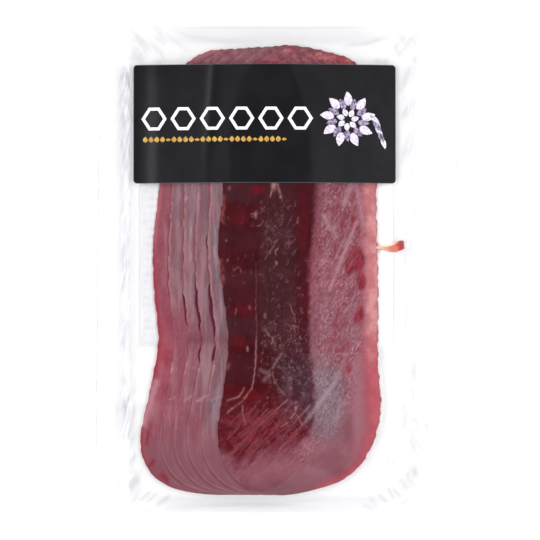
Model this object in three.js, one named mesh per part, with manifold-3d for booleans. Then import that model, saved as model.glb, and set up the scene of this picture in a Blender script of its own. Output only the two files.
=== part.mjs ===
// A clear vacuum pack of dried beef: six shingled slices sealed between two films, with a dark label stuck
// on its front and a white one on its back. It lies on its back, its long side along Y and the front label
// near +Y. The films cling to the meat, so the pack is one solid with the stepped relief of the slices.
import * as THREE from "three";
import { mergeVertices } from "three/addons/utils/BufferGeometryUtils.js";
import Module from "manifold-3d";

// Driving dimensions, in millimetres. X runs across the pack, Y along it and Z up from the table.
const PACK = { length: 220, headWidth: 150, footWidth: 153.5 };
const FILM = { clingTop: 0.1, clingBelow: 0.15, floorTop: 0.95, flangeThickness: 0.6 };
const FLOOR = { left: -59.5, right: 53.5, foot: -96, head: 97.5 };
const RIM = { left: -67.2, right: 64.6, foot: -101.4, head: 102.9, width: 1 };
const FLANGE = { crest: 3.0, outside: 2.5, edge: 1.9 }; // heights on the rim, just outside it and at the edge
const SLICE = { count: 6, thickness: 1.35, noseHalfWidth: 0.25, bendHalfWidth: 3 };
const SLICE_END = { outer: 3.5, inner: 0.5 }; // how far the film's fall reaches at the stack's two ends
const STRAND = { startX: 40.5, endX: 51.2, y: 9.6, endY: 10.4, z: 1.05, radius: 0.85, sides: 8, steps: 5 };
const STRAND_TIP = { x: 51.7, y: 10.1, z: 1.1, width: 3.6, length: 4.6, height: 1.9 };
const FRONT_LABEL = { left: -60.8, right: 49.4, foot: 36.7, head: 86.5, corner: 1.6, thickness: 0.3 };
const BACK_LABEL = { left: -58, right: 48.4, foot: -31.7, head: 68.3, corner: 1.2, thickness: 0.25 };
const LABEL_GAP = 0.3; // between the pack and its front label
const RECESS = { margin: 0.3, depth: 0.5 };
const LABEL_STRAIGHT_FROM = 72; // from here to its head the front label's bends run straight

// The slice on the table and the one on top, counterclockwise from the highest point. Each slice between
// them is a blend of the two, so that the stack shingles to the right.
const LOWEST_SLICE = [
  [-27.3, 92.9],
  [-33.5, 90.8],
  [-39.6, 86.2],
  [-46.2, 73],
  [-49.2, 55],
  [-50.2, 33],
  [-52.5, 11],
  [-52.1, -8],
  [-50.3, -30],
  [-53.5, -49],
  [-57.8, -73],
  [-54.2, -83.8],
  [-46.5, -90.3],
  [-31, -93.9],
  [-14, -93.5],
  [0, -89],
  [9, -78],
  [13.5, -60],
  [13.5, -40],
  [14.5, -10],
  [14, 24],
  [12, 66],
  [3.5, 87],
  [-12, 92],
];
const TOP_SLICE = [
  [-0.3, 94.5],
  [-7, 88.5],
  [-15.5, 81.5],
  [-21.6, 70],
  [-23.3, 54],
  [-23, 32],
  [-25, 11],
  [-23.2, -6],
  [-20.6, -31],
  [-22.8, -51],
  [-25.1, -69],
  [-22.9, -80],
  [-15.5, -89.5],
  [-1, -94.3],
  [16, -91.9],
  [30, -86.2],
  [38.8, -75.3],
  [43.2, -59.5],
  [41.7, -40],
  [42.3, -10],
  [41.6, 24],
  [40.3, 66],
  [31.5, 88.2],
  [18, 91.6],
];
const OUTLINE_STEPS = 120;
// The grid over the pack: its columns follow the slices between two places along Y and run straight beyond
// them, and its rows lie close at the slices' ends, each stretch given as from, to and count.
const COLUMNS_FOLLOW = { from: -90, to: 88.5 };
const ROWS = { foot: [-98, -86, 11], middle: [-82, 80, 28], head: [84, 98.5, 12] };
// Shares of the way up the pocket's wall, where 1 is its rim: the rim's fall, and the flange's droop.
const CREST_FALL = { from: 1, to: 1.12 };
const DROOP = { from: 1.1, to: 2.5 };

const { lerp, smoothstep, clamp } = THREE.MathUtils;
const outlines = Array.from({ length: SLICE.count }, (_, level) => sliceOutline(level));
const solids = await loadSolids();

/** The outline of one slice, from 0 on the table to the last on top. */
function sliceOutline(level) {
  const share = level / (SLICE.count - 1);
  const points = LOWEST_SLICE.map(([x, y], i) => {
    const [topX, topY] = TOP_SLICE[i];
    return new THREE.Vector3(lerp(x, topX, share), lerp(y, topY, share), 0);
  });
  return new THREE.CatmullRomCurve3(points, true, "centripetal").getPoints(OUTLINE_STEPS);
}

/** Distance from a point to the outline's nearest edge, positive inside, and that edge's outward normal. */
function nearestEdge(outline, x, y) {
  const point = new THREE.Vector3(x, y, 0);
  const foot = new THREE.Vector3();
  const edge = { distance: Infinity, normalX: 0, normalY: 0 };
  let inside = false;
  for (let i = 1; i < outline.length; i += 1) {
    const segment = new THREE.Line3(outline[i - 1], outline[i]);
    const distance = segment.closestPointToPoint(point, true, foot).distanceTo(point);
    if (distance < edge.distance) {
      const along = segment.delta(new THREE.Vector3()).normalize();
      Object.assign(edge, { distance, normalX: along.y, normalY: -along.x });
    }
    if (crossesRay(segment, x, y)) inside = !inside;
  }
  edge.distance *= inside ? 1 : -1;
  return edge;
}

/** Whether a ray from (x, y) towards +X crosses the segment. */
function crossesRay({ start, end }, x, y) {
  if (start.y > y === end.y > y) return false;
  return x < start.x + ((end.x - start.x) * (y - start.y)) / (end.y - start.y);
}

/** Height of the meat at a point: each slice that reaches it adds its thickness. */
function stackHeight(x, y) {
  const last = SLICE.count - 1;
  return outlines.reduce((height, outline, level) => {
    const edge = nearestEdge(outline, x, y);
    const covered = edge.normalX > 0 && level < last; // a right-hand edge under the slices above it
    const side = covered ? SLICE.bendHalfWidth : SLICE.noseHalfWidth;
    const endShare = edge.normalY ** 2;
    const outer = lerp(side, SLICE_END.outer, endShare);
    const inner = lerp(side, SLICE_END.inner, endShare);
    return height + SLICE.thickness * smoothstep(edge.distance, -outer, inner);
  }, 0);
}

/** How far a point is up the pocket's wall: 0 on its floor, 1 on its rim and more on the flange. */
function wallShare(x, y) {
  const left = (FLOOR.left - x) / (FLOOR.left - RIM.left);
  const right = (x - FLOOR.right) / (RIM.right - FLOOR.right);
  const foot = (FLOOR.foot - y) / (FLOOR.foot - RIM.foot);
  const head = (y - FLOOR.head) / (RIM.head - FLOOR.head);
  return Math.hypot(Math.max(0, left, right), Math.max(0, foot, head));
}

/** Top of the two films where no meat lies between them. */
function filmTop(x, y) {
  const share = wallShare(x, y);
  const wall = lerp(FILM.floorTop, FLANGE.crest, smoothstep(share, 0, 1));
  const crestFall = (FLANGE.crest - FLANGE.outside) * smoothstep(share, CREST_FALL.from, CREST_FALL.to);
  const droop = (FLANGE.outside - FLANGE.edge) * smoothstep(share, DROOP.from, DROOP.to);
  return wall - crestFall - droop;
}

function packTop(x, y) {
  const meat = stackHeight(x, y);
  return Math.max(filmTop(x, y), FILM.clingBelow + FILM.clingTop + meat);
}

/** Underside of the pack: flat below the pocket's floor, then up to the flange. */
function packBottom(x, y) {
  const share = smoothstep(wallShare(x, y), 0, 1);
  return share * (filmTop(x, y) - FILM.flangeThickness);
}

/** Where the line at y enters and leaves an outline. */
function chord(outline, y) {
  const crossings = outline
    .slice(1)
    .map((end, i) => ({ start: outline[i], end }))
    .filter(({ start, end }) => start.y > y !== end.y > y)
    .map(({ start, end }) => lerp(start.x, end.x, (y - start.y) / (end.y - start.y)));
  return [Math.min(...crossings), Math.max(...crossings)];
}

function packEdge(y) {
  return lerp(PACK.footWidth, PACK.headWidth, y / PACK.length + 0.5) / 2;
}

/** The grid's places along X at height y, two at each step of the stack so that the steps stay crisp. */
function packColumns(y) {
  const place = clamp(y, COLUMNS_FOLLOW.from, COLUMNS_FOLLOW.to);
  const chords = outlines.map((outline) => chord(outline, place));
  const nose = SLICE.noseHalfWidth;
  const steps = chords.flatMap(([left]) => [left - nose, left + nose]);
  const bends = chords.slice(0, -1).map(([, right]) => right);
  const topRight = chords.at(-1)[1];
  const plateau = [1, 2].map((third) => lerp(steps.at(-1), bends[0], third / 3));
  const leftSide = [-packEdge(y), RIM.left - RIM.width, ...spread(RIM.left, FLOOR.left, 3)];
  const rightSide = [...spread(FLOOR.right, RIM.right, 3), RIM.right + RIM.width, packEdge(y)];
  return [...leftSide, ...steps, ...plateau, ...bends, topRight - nose, topRight + nose, ...rightSide];
}

function spread(from, to, count) {
  return Array.from({ length: count }, (_, i) => lerp(from, to, i / (count - 1)));
}

function packRows() {
  const end = PACK.length / 2;
  const footWall = [-end, RIM.foot - RIM.width, ...spread(RIM.foot, ROWS.foot[0], 3).slice(0, -1)];
  const headWall = [...spread(ROWS.head[1], RIM.head, 3).slice(1), RIM.head + RIM.width, end];
  const overMeat = [ROWS.foot, ROWS.middle, ROWS.head].flatMap((stretch) => spread(...stretch));
  return [...footWall, ...overMeat, ...headWall];
}

/** A closed block whose top and bottom are height fields over a grid of rows and of columns in each row. */
function drapedBlock(rows, columnsAt, bottomAt, topAt) {
  const columns = rows.map(columnsAt);
  const across = columns[0].length - 1;
  const along = rows.length - 1;
  const geometry = new THREE.BoxGeometry(1, 1, 1, across, along, 1);
  const place = geometry.getAttribute("position");
  for (let i = 0; i < place.count; i += 1) {
    const row = Math.round((place.getY(i) + 0.5) * along);
    const column = Math.round((place.getX(i) + 0.5) * across);
    const x = columns[row][column];
    const y = rows[row];
    const heightAt = place.getZ(i) > 0 ? topAt : bottomAt;
    place.setXYZ(i, x, y, heightAt(x, y));
  }
  return geometry;
}

async function loadSolids() {
  const wasm = await Module();
  wasm.setup();
  return wasm;
}

/** Turns a closed geometry into a solid that can be joined and cut. */
function toSolid(geometry) {
  const bare = geometry.clone();
  bare.deleteAttribute("normal");
  bare.deleteAttribute("uv");
  const merged = mergeVertices(bare, 1e-4);
  return new solids.Manifold(
    new solids.Mesh({
      numProp: 3,
      vertProperties: merged.getAttribute("position").array,
      triVerts: new Uint32Array(merged.index.array),
    }),
  );
}

function toGeometry(solid) {
  const { vertProperties, triVerts } = solid.getMesh();
  const geometry = new THREE.BufferGeometry();
  geometry.setAttribute("position", new THREE.BufferAttribute(vertProperties, 3));
  geometry.setIndex(new THREE.BufferAttribute(triVerts, 1));
  geometry.computeVertexNormals();
  return geometry;
}

/** A flat plate with rounded corners, standing on height z. */
function plate({ left, right, foot, head, corner }, z, thickness) {
  const shape = new THREE.Shape();
  shape.moveTo(left + corner, foot);
  shape.lineTo(right - corner, foot);
  shape.absarc(right - corner, foot + corner, corner, -Math.PI / 2, 0);
  shape.absarc(right - corner, head - corner, corner, 0, Math.PI / 2);
  shape.absarc(left + corner, head - corner, corner, Math.PI / 2, Math.PI);
  shape.absarc(left + corner, foot + corner, corner, Math.PI, Math.PI * 1.5);
  const settings = { depth: thickness, bevelEnabled: false, curveSegments: 5 };
  return new THREE.ExtrudeGeometry(shape, settings).translate(0, 0, z);
}

/** The thin strand of fat and meat that sticks out of the stack on the right, under the top film. */
function strandSolid() {
  const { startX, endX, y, endY, z, radius, sides, steps } = STRAND;
  const path = new THREE.LineCurve3(new THREE.Vector3(startX, y, z), new THREE.Vector3(endX, endY, z));
  const section = new THREE.Shape(
    Array.from({ length: sides }, (_, i) => {
      const angle = (i / sides) * 2 * Math.PI;
      return new THREE.Vector2(radius * Math.cos(angle), radius * Math.sin(angle));
    }),
  );
  const stem = new THREE.ExtrudeGeometry(section, { extrudePath: path, steps });
  const tip = new THREE.SphereGeometry(0.5, 12, 8);
  tip.scale(STRAND_TIP.width, STRAND_TIP.length, STRAND_TIP.height);
  tip.translate(STRAND_TIP.x, STRAND_TIP.y, STRAND_TIP.z);
  return toSolid(stem).add(toSolid(tip));
}

/** The sealed pack: slices, films, pocket and flange in one, with a shallow place for the back label. */
function sealedPack() {
  const body = toSolid(drapedBlock(packRows(), packColumns, packBottom, packTop));
  const recess = {
    left: BACK_LABEL.left - RECESS.margin,
    right: BACK_LABEL.right + RECESS.margin,
    foot: BACK_LABEL.foot - RECESS.margin,
    head: BACK_LABEL.head + RECESS.margin,
    corner: BACK_LABEL.corner + RECESS.margin,
  };
  const cutter = toSolid(plate(recess, -1, 1 + RECESS.depth));
  const solid = body.add(strandSolid()).subtract(cutter);
  const finish = new THREE.MeshStandardMaterial({ color: 0x8a4650, roughness: 0.22, metalness: 0 });
  return namedMesh("sealed_pack", toGeometry(solid), finish);
}

/** Places where the front label bends: the noses of the steps, the slope's bends and the last nose. */
function labelBends(y) {
  const chords = outlines.map((outline) => chord(outline, Math.min(y, LABEL_STRAIGHT_FROM)));
  const nose = SLICE.noseHalfWidth;
  const noses = chords.map(([left], level) => ({ x: left + nose, slices: level + 1 }));
  const shoulder = { x: chords[0][1] - SLICE.bendHalfWidth, slices: SLICE.count };
  const bends = chords.map(([, right], level) => ({ x: right, slices: SLICE.count - level - 0.5 }));
  bends.at(-1).slices = 1;
  return [...noses, shoulder, ...bends];
}

/** Height of the front label's underside: it bridges the steps from nose to nose. */
function labelUnderside(x, y) {
  const bends = labelBends(y).map((bend) => ({
    x: bend.x,
    z: FILM.clingBelow + FILM.clingTop + SLICE.thickness * bend.slices,
  }));
  const ends = [FRONT_LABEL.left, FRONT_LABEL.right].map((end) => ({ x: end, z: filmTop(end, y) }));
  const knots = [ends[0], ...bends, ends[1]];
  const after = Math.max(1, knots.findIndex((knot, i) => i > 0 && x <= knot.x + 1e-6));
  const [start, end] = [knots[after - 1], knots[after]];
  return LABEL_GAP + lerp(start.z, end.z, clamp((x - start.x) / (end.x - start.x), 0, 1));
}

function labelColumns(y) {
  const { left, right, foot, head, corner } = FRONT_LABEL;
  const fromEnd = Math.min(y - foot, head - y, corner);
  const inset = corner - Math.sqrt(corner ** 2 - (corner - fromEnd) ** 2);
  return [left + inset, ...labelBends(y).map((bend) => bend.x), right - inset];
}

function frontLabel() {
  const { foot, head, corner, thickness } = FRONT_LABEL;
  const rounding = [0, 0.13, 0.5].map((share) => share * corner);
  const rows = [
    ...rounding.map((step) => foot + step),
    ...spread(foot + corner, head - corner, 9),
    ...rounding.map((step) => head - step).reverse(),
  ];
  const upper = (x, y) => labelUnderside(x, y) + thickness;
  const finish = new THREE.MeshStandardMaterial({ color: 0x202022, roughness: 0.4, metalness: 0 });
  return namedMesh("front_label", drapedBlock(rows, labelColumns, labelUnderside, upper), finish);
}

function backLabel() {
  const finish = new THREE.MeshStandardMaterial({ color: 0xf1f0f4, roughness: 0.7, metalness: 0 });
  return namedMesh("back_label", plate(BACK_LABEL, 0, BACK_LABEL.thickness), finish);
}

function namedMesh(name, geometry, material) {
  const mesh = new THREE.Mesh(geometry, material);
  mesh.name = name;
  return mesh;
}

const group = new THREE.Group();
group.add(sealedPack(), frontLabel(), backLabel());

export default group;
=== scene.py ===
"""A clear vacuum pack of six shingled slices of dried beef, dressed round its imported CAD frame.

The pack lies on its back, its long side along Y. The slices, the film round them, the strand of fat, the
front label and its print are modelled here, and the back label gets its paper. Sizes are in millimetres until
the meshes are made, and those of the camera, the lights and the floor are in metres.
"""

import math

import bpy
import numpy as np
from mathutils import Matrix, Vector

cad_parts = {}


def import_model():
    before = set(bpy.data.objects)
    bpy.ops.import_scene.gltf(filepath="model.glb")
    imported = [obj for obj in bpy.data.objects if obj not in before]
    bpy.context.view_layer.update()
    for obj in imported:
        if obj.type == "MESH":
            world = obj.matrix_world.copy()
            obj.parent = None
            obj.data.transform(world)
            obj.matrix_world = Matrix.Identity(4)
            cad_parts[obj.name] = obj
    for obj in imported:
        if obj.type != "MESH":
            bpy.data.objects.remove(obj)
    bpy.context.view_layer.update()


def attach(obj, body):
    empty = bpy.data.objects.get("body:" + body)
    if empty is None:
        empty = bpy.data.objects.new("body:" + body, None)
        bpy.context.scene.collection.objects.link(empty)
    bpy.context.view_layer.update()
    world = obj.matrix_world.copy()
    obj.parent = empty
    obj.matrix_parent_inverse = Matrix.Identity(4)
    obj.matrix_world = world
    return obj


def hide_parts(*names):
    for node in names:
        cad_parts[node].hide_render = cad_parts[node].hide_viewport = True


MM = 0.001
SEED = 20
# The photograph's width and height, where the pack's centre is in it, and its scale.
PHOTO_PIXELS = 540
PACK_CENTRE_PIXEL = (277.75, 270.5)
MM_PER_PIXEL = 0.42

# The pack, as in the frame: X across it, Y along it towards the front label, Z up.
PACK_LENGTH = 220
PACK_HEAD_WIDTH = 150
PACK_FOOT_WIDTH = 153.5
# The pocket of film: the edges of its floor and of its rim, and its heights
FLOOR = {"left": -59.5, "right": 53.5, "foot": -96, "head": 97.5}
RIM = {"left": -67.2, "right": 64.6, "foot": -101.4, "head": 102.9}
RIM_CREST = 3
RIM_OUTSIDE = 2.5
FLANGE_EDGE = 1.9
FILM_FLOOR_TOP = 0.62
FILM_APART = 0.16
# The stack, and how far above it the film lies
SLICES = 6
SLICE_THICKNESS = 1.32
STACK_BASE = 0.4
FILM_CLING = 0.08
# Strength of the grey shade painted into the film along its folds, walls and edges, and of a faint painted
# shade over the pocket beside the meat
FOLD_SHADE = 0.36
POCKET_SHADE = 0.03
# Left edge of a slice: the share of its thickness that it keeps, and how far it takes to reach the whole
NOSE_SHARE = 0.34
NOSE_RAMP = 4.6
# Slope on the right: its width over one slice, and how far it moves in with each slice
SLOPE_WIDTH = 4.45
SLOPE_LEAD = 1.11
# The labels and the print
BACK_LABEL = {"left": -58, "right": 48.4, "foot": -31.7, "head": 68.3}
FRONT_LABEL = {"left": -60.8, "right": 49.7, "foot": 36.7, "head": 86.7, "corner": 1.6}
LABEL_THICKNESS = 0.16
LABEL_LIFT = 0.06
LABEL_CUT = 0.16
LABEL_CREASE = {"foot_x": -30.6, "lean": 0.08, "width": 2.2, "height": 0.34}
PRINT_LIFT = 0.008
PRINT_THICKNESS = 0.03
HEXAGONS = {"count": 6, "left": -57.4, "right": 14.8, "foot": 59, "head": 68.6, "stroke": 1.25, "gap": 1.6}
GOLD_ROW = {"count": 25, "left": -57, "right": 3.9, "foot": 53.1, "head": 56.7}
SPRIG = {"x": 29.4, "y": 63.4, "size": 11.6}
# Rings of the sprig's leaves: number, length, width and start, all but the first as shares of its size
SPRIG_RINGS = ((9, 0.56, 0.3, 0.46), (9, 0.46, 0.24, 0.34), (7, 0.32, 0.2, 0.1))
# The white tent: angles from straight above, strength in the dark opening and elsewhere; and its two lights
TENT = {"opening": 26, "white_from": 46, "dark": 0.025, "white": 0.96}
LIGHT = {"x": 1.05, "z": 0.76, "size": (1.5, 0.5), "power": 13.7}
# The strand's middle line, from inside the stack to its tip: X, Y and width
STRAND = [
    (38.5, 9.2, 0.9), (41.7, 9.6, 1.2), (44, 9.55, 1.5), (46, 9.4, 2.1), (47.6, 9.6, 3.1), (49.2, 9.95, 4.1),
    (50.8, 10.3, 4.5), (52, 10.5, 4.2), (52.8, 10.6, 3),
]


def marks(*rows):
    """Drawn lines, each a row: its half width, its strength, and the X and Y of its points."""
    return [(list(zip(row[2::2], row[3::2])), row[0], row[1]) for row in rows]


# The lowest slice and the top one, counterclockwise from their highest point along Y; the others lie between.
LOWEST_SLICE = [
    (-27.3, 92.9), (-33.5, 90.8), (-39.6, 86.2), (-46.2, 73), (-49.2, 55), (-50.2, 33), (-52.5, 11),
    (-52.1, -8), (-50.3, -30), (-53.5, -49), (-57.8, -73), (-54.2, -83.8), (-46.5, -90.3), (-31, -93.9),
    (-14, -93.5), (0, -89), (9, -78), (13.5, -60), (13.5, -40), (14.5, -10), (14, 24), (12, 66), (3.5, 87),
    (-12, 92),
]
TOP_SLICE = [
    (-0.3, 94.5), (-7, 88.5), (-15.5, 81.5), (-21.6, 70), (-23.3, 54), (-23, 32), (-25, 11), (-23.2, -6),
    (-20.6, -31), (-22.8, -51), (-25.1, -69), (-22.9, -80), (-15.5, -89.5), (-1, -94.3), (16, -91.9),
    (30, -86.2), (38.8, -75.3), (43.2, -59.5), (42.2, -39), (42.3, -10), (41.6, 24), (40.3, 66), (33.4, 87),
    (23, 91.7),
]

# How far each slice lies past its even share of the way from the lowest slice to the top one
UNEVEN_MIDDLE = [0, 0.04, 0.066, 0.042, 0.04, 0]
UNEVEN_FOOT = [0, 0.052, 0.027, 0, -0.012, 0]
# The columns of the top slice's grid that its hidden underside keeps, close where the stack slopes
TOP_SLICE_UNDER = [0, 40, 80, *range(94, 160, 9), 170, 190, 215]
# How far the slices' left edges waver
WAVER = [0.08, 0.2, 0.26, 0.26, 0.22, 0.14]
# How flat each slice's left edge is pressed below the middle
MELTED = [0, 0.85, 0.6, 0, 0, 0]

# Veins and flecks of fat in the top slice
VEINS = marks(
    (0.2, 0.14, -9, 3.6, -9.1, -12.4), (0.2, 0.24, -9.1, -12.4, -8.9, -27.9),
    (0.3, 0.6, -8.9, -27.9, -9, -32.4, -9.3, -37.9), (0.26, 0.7, -9.3, -37.9, -10, -44.7, -10.7, -49.3),
    (0.4, 0.6, -10.7, -49.3, -12.2, -51.2, -15.2, -55.2),
    (0.42, 0.45, -15.2, -55.2, -19.2, -57.8, -21.1, -59.7),
    (0.4, 0.6, -20.9, -54.5, -18.5, -53.8, -16.2, -52.7), (0.3, 0.55, -16.2, -52.7, -15, -51, -14.2, -49.4),
    (0.32, 0.5, -14.7, -56.7, -14.5, -60.7), (0.25, 0.4, -14.5, -60.7, -13.5, -64.6),
    (0.22, 0.45, -2.5, -43.5, 0.1, -48.8, 3.6, -52.7),
    (0.28, 0.55, -5.3, -25, -3.5, -27.5, -2.1, -28.9, -2.3, -30.9), (0.18, 0.4, -2.1, -28.9, 1.2, -26.5),
    (0.4, 0.9, 7.5, -57, 7.6, -57.7), (0.32, 0.65, 7.6, -57.2, 7.6, -59.6, 5.1, -62.2),
    (0.22, 0.6, 8.1, -60.7, 10.1, -64.6), (0.35, 0.45, 4.1, -63.6, 1.2, -65.6),
    (0.95, 1, -1.7, 37.4, -1.6, 34.4), (0.3, 0.8, -1.9, 34.6, -2.6, 32.6, -3, 31),
    (0.42, 0.7, -0.3, 36.6, 0.5, 33.6, 1.2, 30.6), (0.62, 0.75, -9.2, 24.2, -9.3, 22.2),
    (0.28, 0.5, -9.6, 23.6, -11.2, 23.2), (0.2, 0.35, -9.7, 22.9, -11, 22.2),
    (0.55, 0.5, -20.3, 34.7, -20.4, 34), (0.42, 0.42, -21.6, 12.7, -21.6, 12.2),
    (0.4, 0.4, -21.1, 4.4, -21.1, 3.8), (0.25, 0.35, -18.2, -0.2, -16.9, 1.4, -15.7, 0.4, -15.3, -0.8),
    (0.45, 0.5, -11.9, -15.2, -11.5, -15.9), (0.25, 0.4, -17.9, -19, -17.2, -16.2),
    (0.4, 0.6, -12.9, -32.2, -12.5, -33.8), (0.28, 0.6, 0, 9, -1, 8.2, -1.1, 6.8, -0.5, 6.4),
    (0.45, 0.75, -0.6, 3.4, -0.4, 2.7), (0.4, 0.42, 8.7, 22.2, 8.3, 20), (0.35, 0.4, -1.8, -9.6, -1.8, -10),
    (0.42, 0.5, 6.9, -23.5, 6.9, -23.9), (0.6, 0.4, -5.5, -18.4, -5.2, -19.6),
    (0.25, 0.45, 5.2, -14, 6.5, -18, 7.4, -21.8), (0.3, 0.3, -0.3, 12.7, -3, 8.4, -5.3, 4.8),
    (1.2, 0.5, 36.2, 11.6, 38.6, 10.4, 42, 9.6), (1, 0.5, 37, 7.4, 39.6, 9, 42, 9.6),
)
# Mauve streaks and scratches in the top slice
STREAKS = marks(
    (0.75, 0.8, 33.2, 20.8, 27.5, 6.5, 21.6, -8), (1.3, 0.75, 31.4, 37, 27.9, 28.1),
    (0.9, 0.7, 32.9, 37, 35.8, 20.2), (0.8, 0.7, 19.3, 23.2, 20.6, 20.4, 21.8, 17.5),
    (0.9, 0.65, 24.2, 18.6, 23.4, 16.6, 24.6, 14.2), (0.8, 0.5, 28.4, 12.6, 26.6, 11.4),
    (0.6, 0.45, 20.6, 4.2, 17.4, 0.8), (0.8, 0.35, 27.5, -39, 23.9, -47.2),
    (1, 0.6, 23.9, -47.2, 18, -55, 12.1, -62.7), (0.5, 0.45, 12.1, -62.7, 5.5, -70, -0.8, -77.5),
    (0.6, 0.35, 26.4, -52.7, 24.5, -63.2), (0.25, 0.45, 22.5, -35.6, 25.5, -34.8, 29, -34.9),
    (0.26, 0.6, 4.1, -54.2, 1.2, -56.7, -11.2, -68.1, -21.7, -79), (0.5, 0.4, 1.7, -34.9, -2.1, -40.4),
    (0.9, 0.3, -7.2, -41.8, -3.4, -43.6, -5.8, -46), (0.2, 0.4, -9.5, -68, -16, -74, -21, -78.4),
    (0.22, 0.4, 3, -62.5, -6, -71.2, -15, -80.4), (0.2, 0.35, 0, -68, -8.5, -76.2),
    (0.22, 0.4, -2.8, -62, 0.2, -65.2),
)
# Pale marks on the lower slices' strips: two dots near the label, slanted streaks farther down and a broad
# one along the lowest slice's edge
STRIP_MARKS = marks(
    (0.55, 0.8, -38.5, 30.8, -38.5, 30.2), (0.5, 0.8, -33.3, 30.8, -33.3, 30.2),
    (0.35, 0.45, -45.4, -54, -42.8, -53.1), (0.35, 0.5, -39.4, -54.6, -36, -52.5),
    (0.45, 0.75, -33.9, -54.8, -29.5, -52.5), (0.35, 0.45, -27.4, -54.4, -23.9, -52.9),
    (1.5, 0.7, -51.2, -47, -53.6, -55, -56.4, -64.5),
)
# Oval spots, each a row: the X and Y of its centre, its reach along X and Y, and its strength.
# Ruddy places on the lowest slice, where the top slice is bright red, and the crimson patches in its haze
LOWEST_RUDDY = [(-48, -36, 5, 8, 0.5), (-52, -14, 2.6, 22, 0.7), (-56.9, -71, 1.4, 5.4, 0.8)]
RED_SPOTS = [
    (-8.5, 33.6, 5.5, 3.2, 1), (-15, 21.5, 8, 6, 0.5), (-17, 1.5, 5.5, 5, 0.35), (11, 16, 5.4, 24, 0.42),
    (11.6, -14, 3.6, 28, 0.34), (-15, -17, 8.5, 4, 0.55), (-15.5, -30, 8, 5, 0.6),
    (-13, -52.5, 10, 4.5, 0.6), (-6, -64, 20, 12, 0.3), (-10, -70.5, 7, 4, 0.5),
]
RED_PATCHES = [
    (33.6, 4.4, 4.6, 7.4, 1.7), (30, 1.5, 3, 5.6, 1.2), (35.2, -4.6, 2.9, 5.6, 1.6),
    (34.8, -18, 2.5, 6.8, 1.1), (32.8, -20.4, 2.2, 4.6, 0.8), (32, 20.5, 2.2, 7, 0.9),
    (34, 17.6, 1.6, 4.4, 0.6), (26.1, -22.7, 6, 5.5, 0.5), (26, -29.7, 7, 4.4, 0.5),
    (29.8, -39.9, 2.2, 6.5, 0.6), (27, 12, 6, 14, 0.35),
]
# Bright places along the top slice's head, and its pale place by the strand
CROWN_BRIGHT = [(4.4, 92.6, 3.4, 1.6, 1.2), (30, 88, 11, 4.6, 0.9), (20, 90.4, 9, 2.6, 0.9)]
BY_STRAND = (38.8, 9, 4, 5, 1.4)
# Where the top slice is olive, ashy and flecked
OLIVE = (-0.5, 0, 13, 58, 1.3)
ASHY = [(19.5, -54.5, 12.6, 24, 1.6), (7, -46, 12, 24, 0.9)]
FLECKED = [(4, -34, 15, 28, 1.2), (-1, 22, 9, 18, 0.5), (10, -66, 16, 14, 0.5)]
# Nicks in the lowest slice's edge, and pale stretches of the top slice's left rim
LOWEST_NICKS = marks(
    (0.5, 0.4, -53.4, -64.5, -54.6, -68.5), (0.6, 0.75, -54.6, -68.5, -55.6, -73),
    (0.9, 0.9, -52.5, -79.8, -53.1, -81.5), (0.45, 1, -53.1, -81.5, -54.2, -82.7),
    (1.3, 0.75, -48.3, -86.2, -47.3, -87.2), (0.7, 1, -47.2, -87.2, -46.4, -88.8),
)
TOP_RIM = marks(
    (0.8, 0.5, -22.9, 31, -22.8, 26, -23.1, 20), (0.8, 0.5, -24, 4, -23.4, 0, -23.1, -5),
    (0.8, 0.5, -20.6, -39.6, -20.7, -41),
)
# Scratches strewn over the top slice. Each row: left, right, foot and head of their area, then their number,
# angle, spread, length, half width and strength.
SCRATCHES = (
    (18, 35, -34, 34, 60, 61, 9, 7, 0.22, 0.4), (15, 30, -64, -30, 60, 58, 14, 4, 0.22, 0.4),
    (-20, 14, -84, -58, 120, 44, 4, 8, 0.34, 0.42), (-7, 8, 6, 30, 46, 62, 24, 3.2, 0.17, 0.34),
    (-8, 12, -26, 6, 45, 70, 40, 2.2, 0.17, 0.3), (-8, 13, -60, -22, 90, 60, 50, 1.6, 0.22, 0.4),
    (-21, -9, -46, 30, 20, 70, 50, 1.6, 0.17, 0.2),
)

# Values that change along one axis, each point a place and the value there.
# X where the top slice's sheen begins along Y, and Y where it begins at the foot along X: a pale dry bloom
# with a painted reflection of the lights off the film where the slice slopes
SIDE_HAZE = [
    (90, 16), (37, 16.6), (28, 15.6), (18, 15), (11, 14.4), (4, 13), (-4, 13), (-12, 13.4), (-26, 13),
    (-48, 15), (-56, 15.4), (-63, 15), (-69, 12.6), (-76, 5),
]
FOOT_HAZE = [(-24, -77.5), (-18, -82.1), (-11, -81.5), (-5.6, -78), (2.4, -76), (9.1, -75.2), (15.8, -71.5)]
# Strength of the mauve bands across the top slice, a painted reflection of the film
SHEEN_BANDS = [
    (37, 1), (29.5, 0.95), (27.4, 0), (17.5, 0.1), (14.5, 0.4), (10, 0.35), (7, 0), (0.6, 0), (-1.6, 0.75),
    (-5, 0.7), (-7, 0.25), (-13, 0.3), (-15.5, 0), (-18.5, 0.05), (-20.8, 0.8), (-26, 0.85), (-28, 0.1),
    (-34, 0.2), (-37, 0.8), (-46.5, 0.75), (-49, 0), (-53, 0.1), (-58, 0.5), (-66, 0.6), (-70, 0.1),
    (-74, 0.4),
]
# X where the top slice's pale right margin begins, and how pale the lowest slice's left margin is
TOP_MARGIN = [
    (37, 35.6), (20, 37), (8, 36.8), (-4, 36.8), (-20, 37.2), (-34, 37), (-50, 38), (-66, 39.4), (-80, 35),
]
LOWEST_MARGIN = [
    (36, 0.6), (10, 0.7), (-5, 1), (-40, 0.9), (-50, 0.4), (-66, 0.7), (-78, 0.7), (-86, 0.25), (-94, 0.2),
]
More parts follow.
